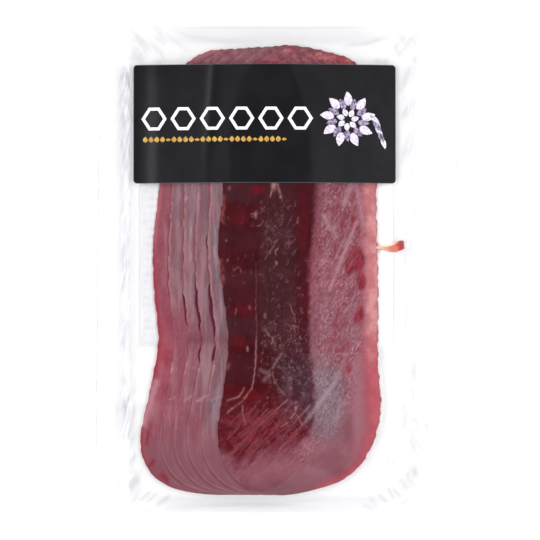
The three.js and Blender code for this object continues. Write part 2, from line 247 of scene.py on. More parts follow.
# How grey the strip of each lower slice is along Y, a painted reflection of the lights off the film over the
# tilted steps; the rest of it is a ruddy mauve
STRIP_SHEEN = [
    [(94, 0.45), (36, 0.3), (0, 0.2), (-20, 0), (-45, 0), (-60, 0.15), (-80, 0.3)],
    [(94, 0.6), (36, 0.85), (0, 0.8), (-14, 0.55), (-22, 0.2), (-45, 0.3), (-60, 0.3), (-80, 0.4)],
    [(94, 0.6), (36, 0.9), (0, 0.9), (-14, 0.75), (-26, 0.5), (-50, 0.55), (-60, 0.4), (-80, 0.45)],
    [(94, 0.7), (36, 0.95), (0, 0.9), (-20, 0.8), (-34, 0.8), (-46, 0.85), (-56, 0.6), (-66, 0.35)],
    [(94, 0.8), (36, 1), (-20, 1), (-34, 0.85), (-46, 0.95), (-62, 1), (-72, 0.7), (-80, 0.4), (-92, 0.3)],
]
# Rims of the lower slices along Y: clear near the label, marked below the middle, thin pale lines at the foot
RIM_HEIGHTS = [
    (94, 0.06), (84, 0.1), (70, 0.4), (36, 0.5), (12, 0.38), (-4, 0.44), (-12, 0.2), (-34, 0.06),
    (-37.8, 0.06), (-38.8, 0.8), (-42.2, 0.8), (-44, 0.2), (-58, 0.1), (-64, 0.27), (-94, 0.33),
]
# Painted shadows in slits left of the next slice's rim, where the film bridges the step: slice level, middle
# and half length along Y, width
SLITS = [
    (1, -16, 7.5, 0.8), (2, -15.8, 10.8, 1.25), (3, -17, 11.8, 1.45), (2, -35, 3.4, 0.9),
    (3, -35.2, 3.8, 1.2), (3, 12, 4, 0.5),
]


def smooth(value, low, high):
    """Smooth step of an array: 0 at low and 1 at high, which may also be the smaller of the two."""
    share = np.clip((np.asarray(value, float) - low) / (high - low), 0, 1)
    return share * share * (3 - 2 * share)


def window(value, low, full, falling, gone):
    """Smooth step up from low to full, and down again from falling to gone."""
    return smooth(value, low, full) * smooth(value, gone, falling)


def bell(value, width):
    return np.exp(-((value / width) ** 2))


def mix(a, b, share):
    return a + (b - a) * share


def bilinear(layer, column, row):
    """Reads a grid between its cells."""
    column = np.clip(column, 0, layer.shape[-1] - 1.001)
    row = np.clip(row, 0, layer.shape[-2] - 1.001)
    i, j = column.astype(int), row.astype(int)
    below = mix(layer[..., j, i], layer[..., j, i + 1], column - i)
    above = mix(layer[..., j + 1, i], layer[..., j + 1, i + 1], column - i)
    return mix(below, above, row - j)


def stretches(x, y, points):
    """Each stretch of a line: its ends, and for every place the nearest share along it and the distance."""
    for (ax, ay), (bx, by) in zip(points, points[1:]):
        dx, dy = bx - ax, by - ay
        t = np.clip(((x - ax) * dx + (y - ay) * dy) / (dx * dx + dy * dy), 0, 1)
        yield (ax, ay), (bx, by), t, np.hypot(x - ax - t * dx, y - ay - t * dy)


# The shape of the stack


def closed_curve(points, per_span=10):
    """Closed centripetal Catmull-Rom curve through the points."""
    p1 = np.array(points, float)
    p0, p2, p3 = (np.roll(p1, k, 0) for k in (1, -1, -2))
    d0, d1, d2 = (np.linalg.norm(b - a, axis=1)[:, None] ** 0.5 for a, b in ((p0, p1), (p1, p2), (p2, p3)))
    leaving = ((p1 - p0) / d0 - (p2 - p0) / (d0 + d1) + (p2 - p1) / d1) * d1
    arriving = ((p2 - p1) / d1 - (p3 - p1) / (d1 + d2) + (p3 - p2) / d2) * d1
    parts = []
    for t in np.arange(per_span) / per_span:
        a, b = 2 * t**3 - 3 * t**2 + 1, t**3 - 2 * t**2 + t
        c, d = -2 * t**3 + 3 * t**2, t**3 - t**2
        parts.append(a * p1 + b * leaving + c * p2 + d * arriving)
    return np.stack(parts, 1).reshape(-1, 2)


def slice_outline(level):
    """The slices are laid unevenly on the left, except near the label."""
    lowest, top = np.array(LOWEST_SLICE), np.array(TOP_SLICE)
    even = mix(lowest, top, level / (SLICES - 1))
    x, y = even.T
    uneven = UNEVEN_FOOT[level] * smooth(y, -24, -64)
    uneven += UNEVEN_MIDDLE[level] * mix(0.4, 1, smooth(y, -14, 8)) * smooth(y, -50, -30)
    uneven *= smooth(-x, 8, 20) * smooth(y, 34, 12)
    curve = closed_curve(even + uneven[:, None] * (top - lowest))
    x, y = curve.T
    waves = np.sin(0.62 * y + 2.4 * level) + 0.6 * np.sin(1.1 * y + 4.1 * level)
    curve[:, 0] += WAVER[level] * waves * smooth(-x, 8, 20) * window(y, -46, -30, 20, 32)
    return curve


def edge_field(outline, x, y):
    """Signed distance to the outline, positive inside, and the outward normal of the nearest edge."""
    best = np.full(x.shape, np.inf)
    normal_x, normal_y = np.zeros(x.shape), np.zeros(x.shape)
    inside = np.zeros(x.shape, bool)
    for (ax, ay), (bx, by), _, distance in stretches(x, y, [*outline, outline[0]]):
        length = math.hypot(bx - ax, by - ay)
        nearer = distance < best
        best = np.where(nearer, distance, best)
        normal_x = np.where(nearer, (by - ay) / length, normal_x)
        normal_y = np.where(nearer, (ax - bx) / length, normal_y)
        if ay != by:
            inside ^= ((ay > y) != (by > y)) & (x < ax + (bx - ax) * (y - ay) / (by - ay))
    return np.where(inside, best, -best), normal_x, normal_y


def soften(field, reach):
    """Gaussian blur of a grid; reach is in cells."""
    offsets = np.arange(-int(3 * reach), int(3 * reach) + 1)
    weights = np.exp(-0.5 * (offsets / reach) ** 2)
    weights /= weights.sum()
    for axis in (0, 1):
        padded = np.pad(field, [(offsets[-1],) * 2 if k == axis else (0, 0) for k in (0, 1)], mode="edge")
        size = field.shape[axis]
        field = sum(w * np.take(padded, np.arange(size) + k, axis) for k, w in enumerate(weights))
    return field


class Grid:
    """Fields on a regular grid over the pack."""

    STEP = 0.8
    LOW_X, LOW_Y = -80, -114

    def __init__(self):
        self.x, self.y = np.meshgrid(*(np.arange(low, -low, self.STEP) for low in (self.LOW_X, self.LOW_Y)))
        self.outlines = [slice_outline(level) for level in range(SLICES)]
        self.layers = [np.stack(edge_field(outline, self.x, self.y)) for outline in self.outlines]

    def read(self, layer, x, y):
        return bilinear(layer, (x - self.LOW_X) / self.STEP, (y - self.LOW_Y) / self.STEP)

    def at(self, level, x, y):
        """Distance inside a slice's edge, and the edge's outward normal."""
        return self.read(self.layers[level], x, y)

    def over_meat(self, x, y):
        """Distance inside the edge of the slice that reaches farthest."""
        return np.max([self.at(k, x, y)[0] for k in range(SLICES)], axis=0)


fields = Grid()


def nose(level, y):
    """Share of its thickness that a slice keeps at its left edge: most just below the middle."""
    melted = MELTED[level] * window(-y, 8, 20, 42, 58)
    return NOSE_SHARE * (0.45 + 0.55 * bell(y + 14, 24)) * (1 - melted)


def slope_share(level, d):
    """Share of a covered slice under the even slope that falls from the lowest slice's right edge."""
    rounding = np.linspace(-0.7, 0.7, 5)
    ramps = [np.clip((level * SLOPE_LEAD - d - r) / SLOPE_WIDTH, 0, 1) for r in rounding]
    return 1 - sum(ramps) / len(ramps)


def slice_share(level, x, y):
    """How much of its thickness a slice adds under what lies on it: it thins towards its left edge."""
    d, nx, ny = fields.at(level, x, y)
    left = mix(smooth(d, -0.2, NOSE_RAMP), smooth(d, -0.3, 0.2), nose(level, y))
    return mix(np.where(nx > 0, slope_share(level, d), left), smooth(d, -0.8, 0.8), ny**2)


def film_share(level, x, y):
    """How high the film stands over a slice: it bridges the steps and falls off past the slices' ends."""
    d, nx, ny = fields.at(level, x, y)
    left = mix(smooth(d, -1.6, NOSE_RAMP - 0.4), smooth(d, -3, 0), NOSE_SHARE)
    if level < SLICES - 1:
        right = slope_share(level, d)
    else:
        right = 0.6 * smooth(d, -2, -0.5) + 0.4 * smooth(d, -1, 2.2)
    return mix(np.where(nx > 0, right, left), smooth(d, -4.2, 0.3), ny**2)


class SoftSum:
    """Sum of the first slices' shares, crisp over the steps on the left and softened on the right."""

    def __init__(self, share_of, count):
        self.share_of, self.count = share_of, count
        self.softened = soften(self.crisp(fields.x, fields.y), 2.4)

    def crisp(self, x, y):
        return sum((self.share_of(k, x, y) for k in range(self.count)), np.zeros(np.shape(x)))

    def at(self, x, y):
        return mix(self.crisp(x, y), fields.read(self.softened, x, y), smooth(x, 5, 13))


beds = [SoftSum(slice_share, level) for level in range(SLICES)]
film_bed = SoftSum(film_share, SLICES - 1)


def bed_height(level, x, y):
    """Underside of a slice: what the slices below it add up to."""
    return STACK_BASE + SLICE_THICKNESS * beds[level].at(x, y)


def slice_top(level, x, y):
    d, nx, ny = fields.at(level, x, y)
    left = mix(smooth(d, 0, NOSE_RAMP), 1, nose(level, y))
    right = 0.6 + 0.4 * smooth(d, 0, 2.4)
    tip = 0.75 + 0.25 * smooth(d, 0, 1.2)
    return bed_height(level, x, y) + SLICE_THICKNESS * mix(np.where(nx > 0, right, left), tip, ny**2)


def wall_share(x, y):
    """0 on the pocket's floor, 1 on its rim and more on the flange."""
    beyond = [(place - FLOOR[side]) / (RIM[side] - FLOOR[side])
              for side, place in (("left", x), ("right", x), ("foot", y), ("head", y))]
    return np.hypot(np.maximum(0, np.maximum(*beyond[:2])), np.maximum(0, np.maximum(*beyond[2:])))


def pocket_top(x, y):
    share = wall_share(x, y)
    wall = mix(FILM_FLOOR_TOP, RIM_CREST, smooth(share, 0, 1))
    crest_fall = (RIM_CREST - RIM_OUTSIDE) * smooth(share, 1, 1.12)
    droop = (RIM_OUTSIDE - FLANGE_EDGE) * smooth(share, 1.1, 2.5)
    return wall - crest_fall - droop


def over_strand(x, y):
    """The film tents over the strand."""
    tent = np.zeros(np.shape(x))
    for cx, cy, width in STRAND:
        off = np.hypot((x - cx) / (0.5 * width + 2.4), (y - cy) / (0.5 * width + 1.8))
        tent = np.maximum(tent, 0.5 + (0.95 + 0.2 * width) * smooth(off, 1, 0.2))
    return tent


def film_top(x, y):
    """Top film without its wrinkles."""
    meat = film_bed.at(x, y) + film_share(SLICES - 1, x, y)
    over_meat = STACK_BASE + FILM_CLING + SLICE_THICKNESS * meat
    return np.maximum(np.maximum(pocket_top(x, y), over_meat), over_strand(x, y))


# Wrinkles of the film, with their depth from 0 to 1 as strength
FOLDS = marks(
    # The corner at the left of the foot: broad folds that rise to the right.
    (0.6, 0.35, -67, -54.4, -67.4, -61.6, -67.9, -69.7), (1.5, 0.5, -60.8, -54.4, -62.3, -63.5, -67, -73.7),
    (0.6, 0.25, -56.5, -56.6, -58.6, -61.7), (0.7, 0.4, -59.4, -68.2, -62.6, -73.3, -67.7, -76.9),
    (1.4, 0.55, -58.6, -76.2, -63.7, -80.6, -67.4, -85.3), (2.2, 0.55, -57.9, -86.4, -64.1, -91.5),
    (0.7, 0.5, -52.8, -92.2, -58.3, -97), (0.6, 0.5, -49.9, -92.6, -55.4, -97.7),
    (1, 0.5, -44.8, -94.1, -51.7, -99.2), (0.6, 0.2, -62.5, -97.6, -60, -99.4, -59.8, -102),
    (0.6, 0.25, -56.4, -103, -54, -100.2, -51.5, -102.6),
    # The corner at the right of the foot: a cluster of short folds that run outward.
    (0.5, 0.35, 58.5, -47.7, 59.7, -52.7, 62.3, -57.8), (1, 0.2, 53, -53.6, 53.4, -60.3, 53, -69.5),
    (0.5, 0.35, 60.6, -61.1, 62.3, -65.3, 64.4, -67.8), (0.55, 0.45, 58.1, -71.2, 60.6, -75.8, 63.1, -79.6),
    (0.5, 0.35, 58.1, -75.8, 61.8, -80.9), (1.3, 0.45, 55.5, -82.5, 59.7, -86.7),
    (0.6, 0.5, 53.4, -84.2, 57.2, -90.9), (0.9, 0.45, 50.9, -86.7, 54.7, -92.6),
    (0.6, 0.5, 45.9, -90.5, 49.2, -96.8), (0.6, 0.5, 48, -91.3, 52.2, -95.5),
    (0.8, 0.5, 41.7, -93.4, 46.7, -98.1), (0.7, 0.4, 38.7, -94.3, 41.7, -100.2),
    (0.8, 0.35, 35, -97.7, 40.8, -100.6), (0.7, 0.22, 51.3, -98.5, 55.5, -96),
    (0.7, 0.22, 45.9, -101, 49.7, -99.3), (0.8, 0.16, 45.5, -75.4, 47.6, -82.1, 50.5, -76.7),
    # The corner at the left of the head: long fine folds towards the meat.
    (1.2, 0.2, -59.1, 105.2, -54, 103.5), (0.5, 0.35, -58.3, 98.2, -53.2, 91.5),
    (0.6, 0.4, -60.3, 95, -56.8, 89.5), (1.4, 0.45, -63, 92.3, -55.6, 88),
    (0.5, 0.3, -53.2, 100.1, -46.9, 94.7), (0.8, 0.22, -49.3, 101.7, -39.5, 93.9, -37.5, 91.9),
    (1, 0.16, -46.9, 102.1, -36, 98.6, -21.9, 96.6, 0, 96.3), (1, 0.35, -52, 88.4, -48.5, 87.6),
    (0.7, 0.5, -65, 87.2, -61.8, 83.3, -61.1, 77), (1, 0.4, -65.4, 83.3, -62.3, 72.3),
    (1.5, 0.42, -65.8, 73.9, -61.5, 61.3), (0.9, 0.35, -65.6, 58, -62.4, 47), (1, 0.3, -66, 45, -62.8, 33),
    # The corner at the right of the head.
    (0.8, 0.35, 47.8, 99.4, 37.6, 95.8, 25.9, 94.7), (0.5, 0.3, 54.5, 100.1, 48.6, 93.1),
    (0.55, 0.35, 58, 100.1, 51, 90.7), (0.5, 0.2, 60, 93.1, 56.5, 87.2), (0.5, 0.22, 62.3, 91.9, 58.4, 78.2),
    (1, 0.35, 39.6, 88.4, 47.8, 88.4), (0.8, 0.35, 52.9, 81.7, 51.3, 73.9),
    (0.8, 0.25, 54.5, 69.9, 52.1, 63.3), (0.9, 0.22, 56, 60, 52.4, 46),
    # Along the right side.
    (0.6, 0.14, 48.6, 29.6, 48.4, 0, 48.4, -30.8), (0.5, 0.16, 53.8, 22.4, 53.5, -41),
    # Along the foot and the head.
    (1.1, 0.2, -51, -99.4, -20, -98.2, 12, -98.6), (0.6, 0.22, -46, 102.6, 0, 102.2, 41, 102.6),
)
# Slighter folds strewn in the corners. Each row: left, right, foot and head of their area, then their number,
# angle, length, half width and depth.
CORNER_FOLDS = (
    (-66, -46, 88, 103, 16, -52, 10, 0.6, 0.26), (-66.5, -58, -97, -50, 12, 58, 13, 1.4, 0.22),
    (50, 62, 86, 101, 10, -58, 8, 0.6, 0.2), (52, 56, 40, 84, 7, 74, 12, 1.2, 0.2),
    (56, 63, -84, -40, 9, -66, 9, 0.7, 0.16),
)


def side_folds():
    """Many slight slanting folds along the pocket's long sides and in its corners."""
    rng = np.random.default_rng(SEED)
    folds = []
    for y in np.arange(56, -56, -7.5):
        y += rng.uniform(-2, 2)
        x = rng.uniform(-66.6, -64.8)
        reach = rng.uniform(7, 15)
        line = [(x, y), (x + 0.22 * reach, y - 0.6 * reach), (x + 0.3 * reach, y - reach)]
        folds.append((line, rng.uniform(0.4, 0.8), rng.uniform(0.12, 0.26)))
    for y in np.arange(74, -84, -6.5):
        y += rng.uniform(-2, 2)
        x = rng.uniform(61.5, 63.6)
        reach = rng.uniform(2.5, 5)
        line = [(x, y), (x + 0.35 * reach, y - reach)]
        folds.append((line, rng.uniform(0.3, 0.5), rng.uniform(0.06, 0.16)))
    for left, right, foot, head, count, angle, length, width, depth in CORNER_FOLDS:
        for _ in range(count):
            x, y = rng.uniform(left, right), rng.uniform(foot, head)
            turn = math.radians(angle + rng.normal(0, 7))
            reach = length * rng.uniform(0.6, 1.2) / 2
            bend = rng.normal(0, 0.6)
            line = [(x + k * reach * math.cos(turn), y + k * reach * math.sin(turn)) for k in (-1, 0, 1)]
            line[1] = (line[1][0] + bend * math.sin(turn), line[1][1] - bend * math.cos(turn))
            folds.append((line, width * rng.uniform(0.7, 1.3), depth * rng.uniform(0.6, 1.2)))
    return folds


def fold_profile(x, y, points, width):
    """Ridge of a fold, from 0 to 1, and the shade on the side that turns from the light."""
    nearest = np.full(np.shape(x), np.inf)
    side, along = np.zeros(np.shape(x)), np.zeros(np.shape(x))
    for k, ((ax, ay), (bx, by), t, distance) in enumerate(stretches(x, y, points)):
        nearer = distance < nearest
        nearest = np.where(nearer, distance, nearest)
        side = np.where(nearer, np.sign((x - ax) * (by - ay) - (y - ay) * (bx - ax)), side)
        along = np.where(nearer, (k + t) / (len(points) - 1), along)
    taper = window(along, -0.05, 0.3, 0.7, 1.05)
    off = nearest * side
    return bell(off - 1.1 * width, 0.9 * width) * taper, bell(off, width) * taper


def wrinkles(x, y):
    """Height that the folds add to the film, and the shade painted along them."""
    height, shade = np.zeros(np.shape(x)), np.zeros(np.shape(x))
    for points, width, depth in FOLDS + side_folds():
        ridge, dark = fold_profile(x, y, points, width)
        height += depth * min(0.75, 0.8 * width) * (ridge - 0.4 * dark)
        shade = 1 - (1 - shade) * (1 - depth * dark)
    nearest = fields.over_meat(x, y)
    on_pocket = smooth(nearest, -0.6, -2.6) * smooth(wall_share(x, y), 1.8, 1.25)
    return height * on_pocket, shade * smooth(nearest, 0.4, -0.8)


def wall_shade(x, y):
    """Painted shade of the pocket's walls and round the labels, a faint grey seen through two films."""
    foot = window(y, -102.2, -100.2, -96, -93.6) * window(x, -56, -40, 38, 48)
    foot = foot * mix(0.3, 0.14, smooth(x, 0, 46))
    head = 0.24 * window(y, 94.5, 97.2, 102.2, 103.2) * window(x, -52, -34, 30, 48)
    left = window(x, -67, -65.6, -62.8, -61.2) * window(y, -84, -56, 80, 92) * (1 + 0.8 * bell(x + 63.6, 1.4))
    left = left * mix(0.42, 0.62, smooth(y, 30, 40))
    right = 0.05 * window(x, 61, 63, 64.2, 65.2) * window(y, -84, -70, 84, 92)
    under_label = 0.04 * window(x, -58.4, -57.6, 48, 48.8) * smooth(y, -32.2, -31.4)
    by_label = 0.12 * window(x, 48.6, 49.8, 51, 54.5) * window(y, 35, 40, 82, 90)
    return foot + head + left + right + under_label + by_label


# Meshes


def make_mesh(name, vertices, faces, flat_angle):
    """A smooth-shaded object in metres from vertices in millimetres."""
    mesh = bpy.data.meshes.new(name)
    mesh.from_pydata((np.asarray(vertices) * MM).tolist(), [], faces)
    mesh.validate()
    mesh.shade_smooth()
    mesh.set_sharp_from_angle(angle=math.radians(flat_angle))
    return link_object(name, mesh)


def link_object(name, data):
    made = bpy.data.objects.new(name, data)
    bpy.context.collection.objects.link(made)
    return made


def quads(index):
    return np.stack([index[:-1, :-1], index[:-1, 1:], index[1:, 1:], index[1:, :-1]], -1).reshape(-1, 4)


def shell(name, x, y, low, high, flat_angle, under=None):
    """A closed shell between two height fields over a grid; its underside may have only some columns."""
    rows, columns = x.shape
    under = np.arange(columns) if under is None else np.asarray(under)
    top = np.stack([x, y, high], -1).reshape(-1, 3)
    bottom = np.stack([x, y, low], -1)[:, under].reshape(-1, 3)
    above = np.arange(rows * columns).reshape(rows, columns)
    below = rows * columns + np.arange(rows * under.size).reshape(rows, under.size)
    left = quads(np.stack([below[:, 0], above[:, 0]], -1))
    right = quads(np.stack([above[:, -1], below[:, -1]], -1))
    faces = np.vstack([quads(above), quads(below)[:, ::-1], left, right]).tolist()
    for k, (start, end) in enumerate(zip(under, under[1:])):
        faces.append([*below[0, k : k + 2], *above[0, start : end + 1][::-1]])
        faces.append([*below[-1, k : k + 2][::-1], *above[-1, start : end + 1]])
    return make_mesh(name, np.vstack([top, bottom]), faces, flat_angle)


def add_values(piece, **values):
    """Stores named values on the vertices; values for a shell's upper half alone are used for both halves."""
    for name, value in values.items():
        flat = np.resize(np.asarray(value, np.float32).ravel(), len(piece.data.vertices))
        piece.data.attributes.new(name, "FLOAT", "POINT").data.foreach_set("value", flat)


def chords(outline, rows):
    """Left and right end of the outline at each row."""
    starts, ends = outline, np.roll(outline, -1, 0)
    found = []
    for y in rows:
        crossed = (starts[:, 1] > y) != (ends[:, 1] > y)
        a, b = starts[crossed], ends[crossed]
        at = a[:, 0] + (b[:, 0] - a[:, 0]) * (y - a[:, 1]) / (b[:, 1] - a[:, 1])
        found.append((at.min(), at.max()))
    return np.array(found).T


def ragged(y, seed, size):
    """Small notches along a cut edge."""
    rng = np.random.default_rng(seed)
    offset = np.zeros(y.shape)
    for period in (9, 5, 3.1, 1.7):
        offset += period**0.5 * np.sin(2 * math.pi * y / period + rng.uniform(0, 2 * math.pi))
    return size * offset


def slice_grid(level):
    """Rows and columns that follow a slice's outline, fine where the slice shows."""
    outline = fields.outlines[level]
    shown = level == SLICES - 1
    even = np.linspace(0, 1, 430 if shown else 280)
    eased = (1 - np.cos(np.pi * even)) / 2
    rows = mix(outline[:, 1].min() + 0.02, outline[:, 1].max() - 0.02, mix(even, eased, 0.5))
    left, right = chords(outline, rows)
    fade = smooth(right - left, 20, 50)
    left = left + fade * ragged(rows, SEED + 40 + level, 0.035)
    right = right + fade * ragged(rows, SEED + 50 + level, 0.06)
    if shown:
        across = np.linspace(0, 1, 216)
    else:
        stretched = ((0, 0.14, 26), (0.18, 0.86, 14), (0.89, 1, 9))
        across = np.concatenate([np.linspace(*part) for part in stretched])
    x = mix(left[:, None], right[:, None], across)
    y = np.repeat(rows[:, None], across.size, 1)
    return x, y + smooth(y, 84, 89) * (0.2 * np.sin(1.25 * x + 2.1 * level) + 0.15 * np.sin(2.6 * x + level))


# Marks in the meat: every one is a share from 0 to 1, stored on the vertices


def stroke(x, y, points, width):
    """1 on a line through the points, falling off within its half width."""
    return bell(np.min([distance for *_, distance in stretches(x, y, points)], axis=0), width)


def wobble(x, y, size):
    """Shifts a grid's places a little, so that lines drawn over it waver."""
    rng = np.random.default_rng(SEED + 90)
    shift = [np.zeros(x.shape), np.zeros(x.shape)]
    for period in (7, 3.6, 2.1, 1.3):
        for k in (0, 1):
            turn = rng.uniform(0, math.tau)
            wave = (x * math.cos(turn) + y * math.sin(turn)) * math.tau / period
            shift[k] += size * period**0.6 * np.sin(wave + rng.uniform(0, math.tau))
    return x + shift[0], y + shift[1]


def draw(x, y, lines, waver=0.06):
    """Wavering lines over a slice's grid, whose rows lie along X."""
    field = np.zeros(x.shape)
    rows = y[:, 0]
    x, y = wobble(x, y, waver)
    for points, width, strength in lines:
        along = [point[1] for point in points]
        a, b = np.searchsorted(rows, [min(along) - 3 * width - 1, max(along) + 3 * width + 1])
        if a < b:
            field[a:b] = np.maximum(field[a:b], strength * stroke(x[a:b], y[a:b], points, width))
    return field


def spots(x, y, places):
    """Sum of oval spots."""
    total = np.zeros(x.shape)
    for cx, cy, reach_x, reach_y, strength in places:
        total += strength * smooth(np.hypot((x - cx) / reach_x, (y - cy) / reach_y), 1, 0.1)
    return np.clip(total, 0, 1)


def profile(place, points):
    """A value that changes along one axis, through points that are each a place and the value there."""
    places, values = zip(*sorted(points))
    return np.interp(place, places, values)


def scratches(left, right, foot, head, count, angle, spread, length, width, strength):
    """Fine bowed scratches at about one angle, strewn over an area."""
    rng = np.random.default_rng(SEED + 60 + count)
    lines = []
    for _ in range(count):
        line = [(rng.uniform(left, right), rng.uniform(foot, head))]
        turn = math.radians(angle + rng.normal(0, spread))
        bend = math.radians(rng.normal(0, 2.2 * spread))
        reach = length * rng.uniform(0.4, 1.2) / 2
        for side in (-1, 1):
            for k in (0.5, 1.5):
                heading = turn + side * bend * k / 2
                step = side * reach / 2
                line.append((line[-1][0] + step * math.cos(heading), line[-1][1] + step * math.sin(heading)))
            line.reverse()
        lines.append((line, width * rng.uniform(0.7, 1.3), strength * rng.uniform(0.4, 1)))
    return lines


def top_slice_marks(x, y, d):
    """Where the top slice is hazy with dry bloom and painted reflection, deep red, flecked, veined and
    scratched, and where mauve bands of painted reflection cross it.
    """
    haze_from, foot_from = profile(y, SIDE_HAZE), profile(x, FOOT_HAZE)
    wide = np.maximum(smooth(y, 24, 32), 0.5 * smooth(y, -20, -46))
    side_haze = smooth(x, haze_from - mix(1.9, 3, wide), haze_from + mix(2.2, 4, wide))
    foot_haze = smooth(y, foot_from + 9, foot_from - 7)
    calm = smooth(x, 29.5, 34) * smooth(y, -32, -40)
    rough = smooth(x, haze_from - 0.5, haze_from + 6) * (1 - 0.85 * calm) * (1 - 0.6 * smooth(x, 33.5, 36.5))
    calm = np.maximum(calm, smooth(x + 0.35 * y, 8, 18) * smooth(y, -34, -40) * smooth(x, 25, 33))
    patches = spots(x, y, RED_PATCHES)
    margin_from = profile(y, TOP_MARGIN) + ragged(y, SEED + 72, 0.12)
    margin = smooth(x, margin_from - mix(5.6, 7, smooth(-y, 46, 64)), margin_from + 2.8)
    margin = np.max([margin, smooth(d, 4.8, 0), spots(x, y, [BY_STRAND])], axis=0)
    line = draw(x, y, STREAKS, 0.02)
    for row in SCRATCHES:
        line = np.maximum(line, draw(x, y, scratches(*row), 0.03))
    return {
        # Partly dry bloom, partly a painted reflection of the lights off the film where the slice slopes at
        # its side and foot
        "haze_and_sheen": np.max([side_haze, foot_haze, smooth(y, 82, 90)], axis=0),
        "rough": rough * smooth(y - 1.2 * (x - 20), -77, -62),
        "calm": calm * side_haze,
        "olive": spots(x, y, [OLIVE]) * smooth(x, -9.6, -7.4),
        "ashy": spots(x, y, ASHY),
        # mauve bands: a painted reflection of the film
        "band_sheen": profile(y, SHEEN_BANDS) * (1 - 0.6 * smooth(x, -9.5, -7.5)) * (1 - 0.7 * smooth(x, 6, 13)),
        "red": spots(x, y, RED_SPOTS),
        "patches": patches,
        "bright": spots(x, y, CROWN_BRIGHT),
        "fleck": spots(x, y, FLECKED),
        "margin": margin * smooth(x, 8, 22) * smooth(y, 80, 60) * (1 - 0.85 * patches),
        "ruddy": smooth(y, -20, -46),
        "vein": 0.85 * draw(x, y, VEINS, 0.035),
        "line": line,
        "rim": draw(x, y, TOP_RIM),
        # a thin line of painted shade along its right edge
        "gap": 0.55 * smooth(d, 0.6, 0.15) * smooth(x, 10, 20),
    }


def strip_marks(level, x, y, d):
    """The same for the strip that a lower slice shows left of the next one."""
    beyond = -fields.at(level + 1, x, y)[0]
    share = np.clip(d / np.maximum(d + beyond, 0.5), 0, 1)
    # The painted reflection is strongest in the middle of the strip and weaker at its edges, where the steps
    # shade it
    sheen_across = 0.7 + 0.3 * np.sin(math.pi * share**1.3) ** 0.7
    low = smooth(y, -46, -60)
    rim = profile(y, RIM_HEIGHTS) * bell(d - 0.35, mix(0.6, 0.25, low)) * (level > 0)
    # Painted shadow: a band beside the next slice's edge, and the slits where the film bridges the step
    depth = 0.16 if level > 1 else 0.16 * smooth(y, -6, 8)
    gap = depth * smooth(beyond, 1, 0) * window(y, -60, -40, -2, 24)
    for at_level, middle, half, width in SLITS:
        if at_level == level:
            lens = np.clip(1 - ((y - middle) / half) ** 2, 0, 1) ** 0.6 * width
            gap = np.maximum(gap, smooth(lens, 0, 0.5) * smooth(beyond, 1.25 * lens + 0.1, 0.75 * lens))
    margin = np.zeros(x.shape)
    if level == 0:
        nicks = draw(x, y, LOWEST_NICKS)
        pale = smooth(d, 2.6, 0.4) * profile(y, LOWEST_MARGIN)
        margin = np.max([pale, spots(x, y, LOWEST_RUDDY), nicks], axis=0)
        # the lowest slice's dark nicks take the painted shadow's colour as well
        gap = np.maximum(gap, 0.5 * nicks)
    elif level > 1:
        # a faint band of painted shade across the strips between the slits
        gap = np.maximum(gap, 0.3 * bell(y + 29, 2.2))
    return {
        # grey of painted reflection off the film
        "haze_and_sheen": profile(y, STRIP_SHEEN[level]) * sheen_across,
        "margin": margin,
        "ruddy": smooth(y, 20, 4),
        "line": draw(x, y, STRIP_MARKS),
        # At the foot a pale line is painted beside the next slice's edge: painted light that lifts the step's
        # shadow
        "rim": np.maximum(rim, 0.28 * low * bell(beyond, 0.35)),
        "gap": gap,
    }


def make_slice(level):
    x, y = slice_grid(level)
    shown = level == SLICES - 1
    under = TOP_SLICE_UNDER if shown else None
    piece = shell(f"slice_{level + 1}", x, y, bed_height(level, x, y), slice_top(level, x, y), 50, under)
    d = fields.at(level, x, y)[0]
    values = top_slice_marks(x, y, d) if shown else strip_marks(level, x, y, d)
    if shown:
        values = {name: np.append(value, value[:, under]) for name, value in values.items()}
    add_values(piece, **values)
    return piece


# The front label and its print


def hull_line(x, z):
    """Height of the line stretched over the points, read at the same x."""
    hull = []
    for px, pz in zip(x, z):
        while len(hull) > 1:
            (ax, az), (bx, bz) = hull[-2:]
            if (bz - az) * (px - ax) > (pz - az) * (bx - ax):
                break
            hull.pop()
        hull.append((px, pz))
    return np.interp(x, *zip(*hull))


class LabelForm:
    """Underside of the front label: stretched over the steps, stuck down at its left end, softly creased."""

    def __init__(self):
        left, right, foot, head, _ = FRONT_LABEL.values()
        self.x, self.y = np.linspace(left - 0.5, right + 0.5, 240), np.linspace(foot - 0.5, head + 0.5, 40)
        x, y = np.meshgrid(self.x, self.y)
        under = film_top(x, y)
        tight = np.array([hull_line(self.x, row) for row in under])
        stuck = smooth(x, left + 11, left + 1)
        height = np.maximum(under, tight - 0.5 * stuck * (tight - under)) + LABEL_LIFT
        for _ in range(6):
            padded = np.pad(height, 1, mode="edge")
            around = padded[1:-1, :-2] + padded[1:-1, 2:] + padded[:-2, 1:-1] + padded[2:, 1:-1]
            height = np.maximum(under + LABEL_LIFT, (around + 4 * height) / 8)
        foot_x, lean, width, crease = LABEL_CREASE.values()
        self.height = height + crease * smooth(y, 20, 80) * bell(x - foot_x - lean * (y - foot), width)

    def at(self, x, y):
        column, row = ((place - line[0]) / (line[1] - line[0]) for place, line in ((x, self.x), (y, self.y)))
        return bilinear(self.height, column, row)


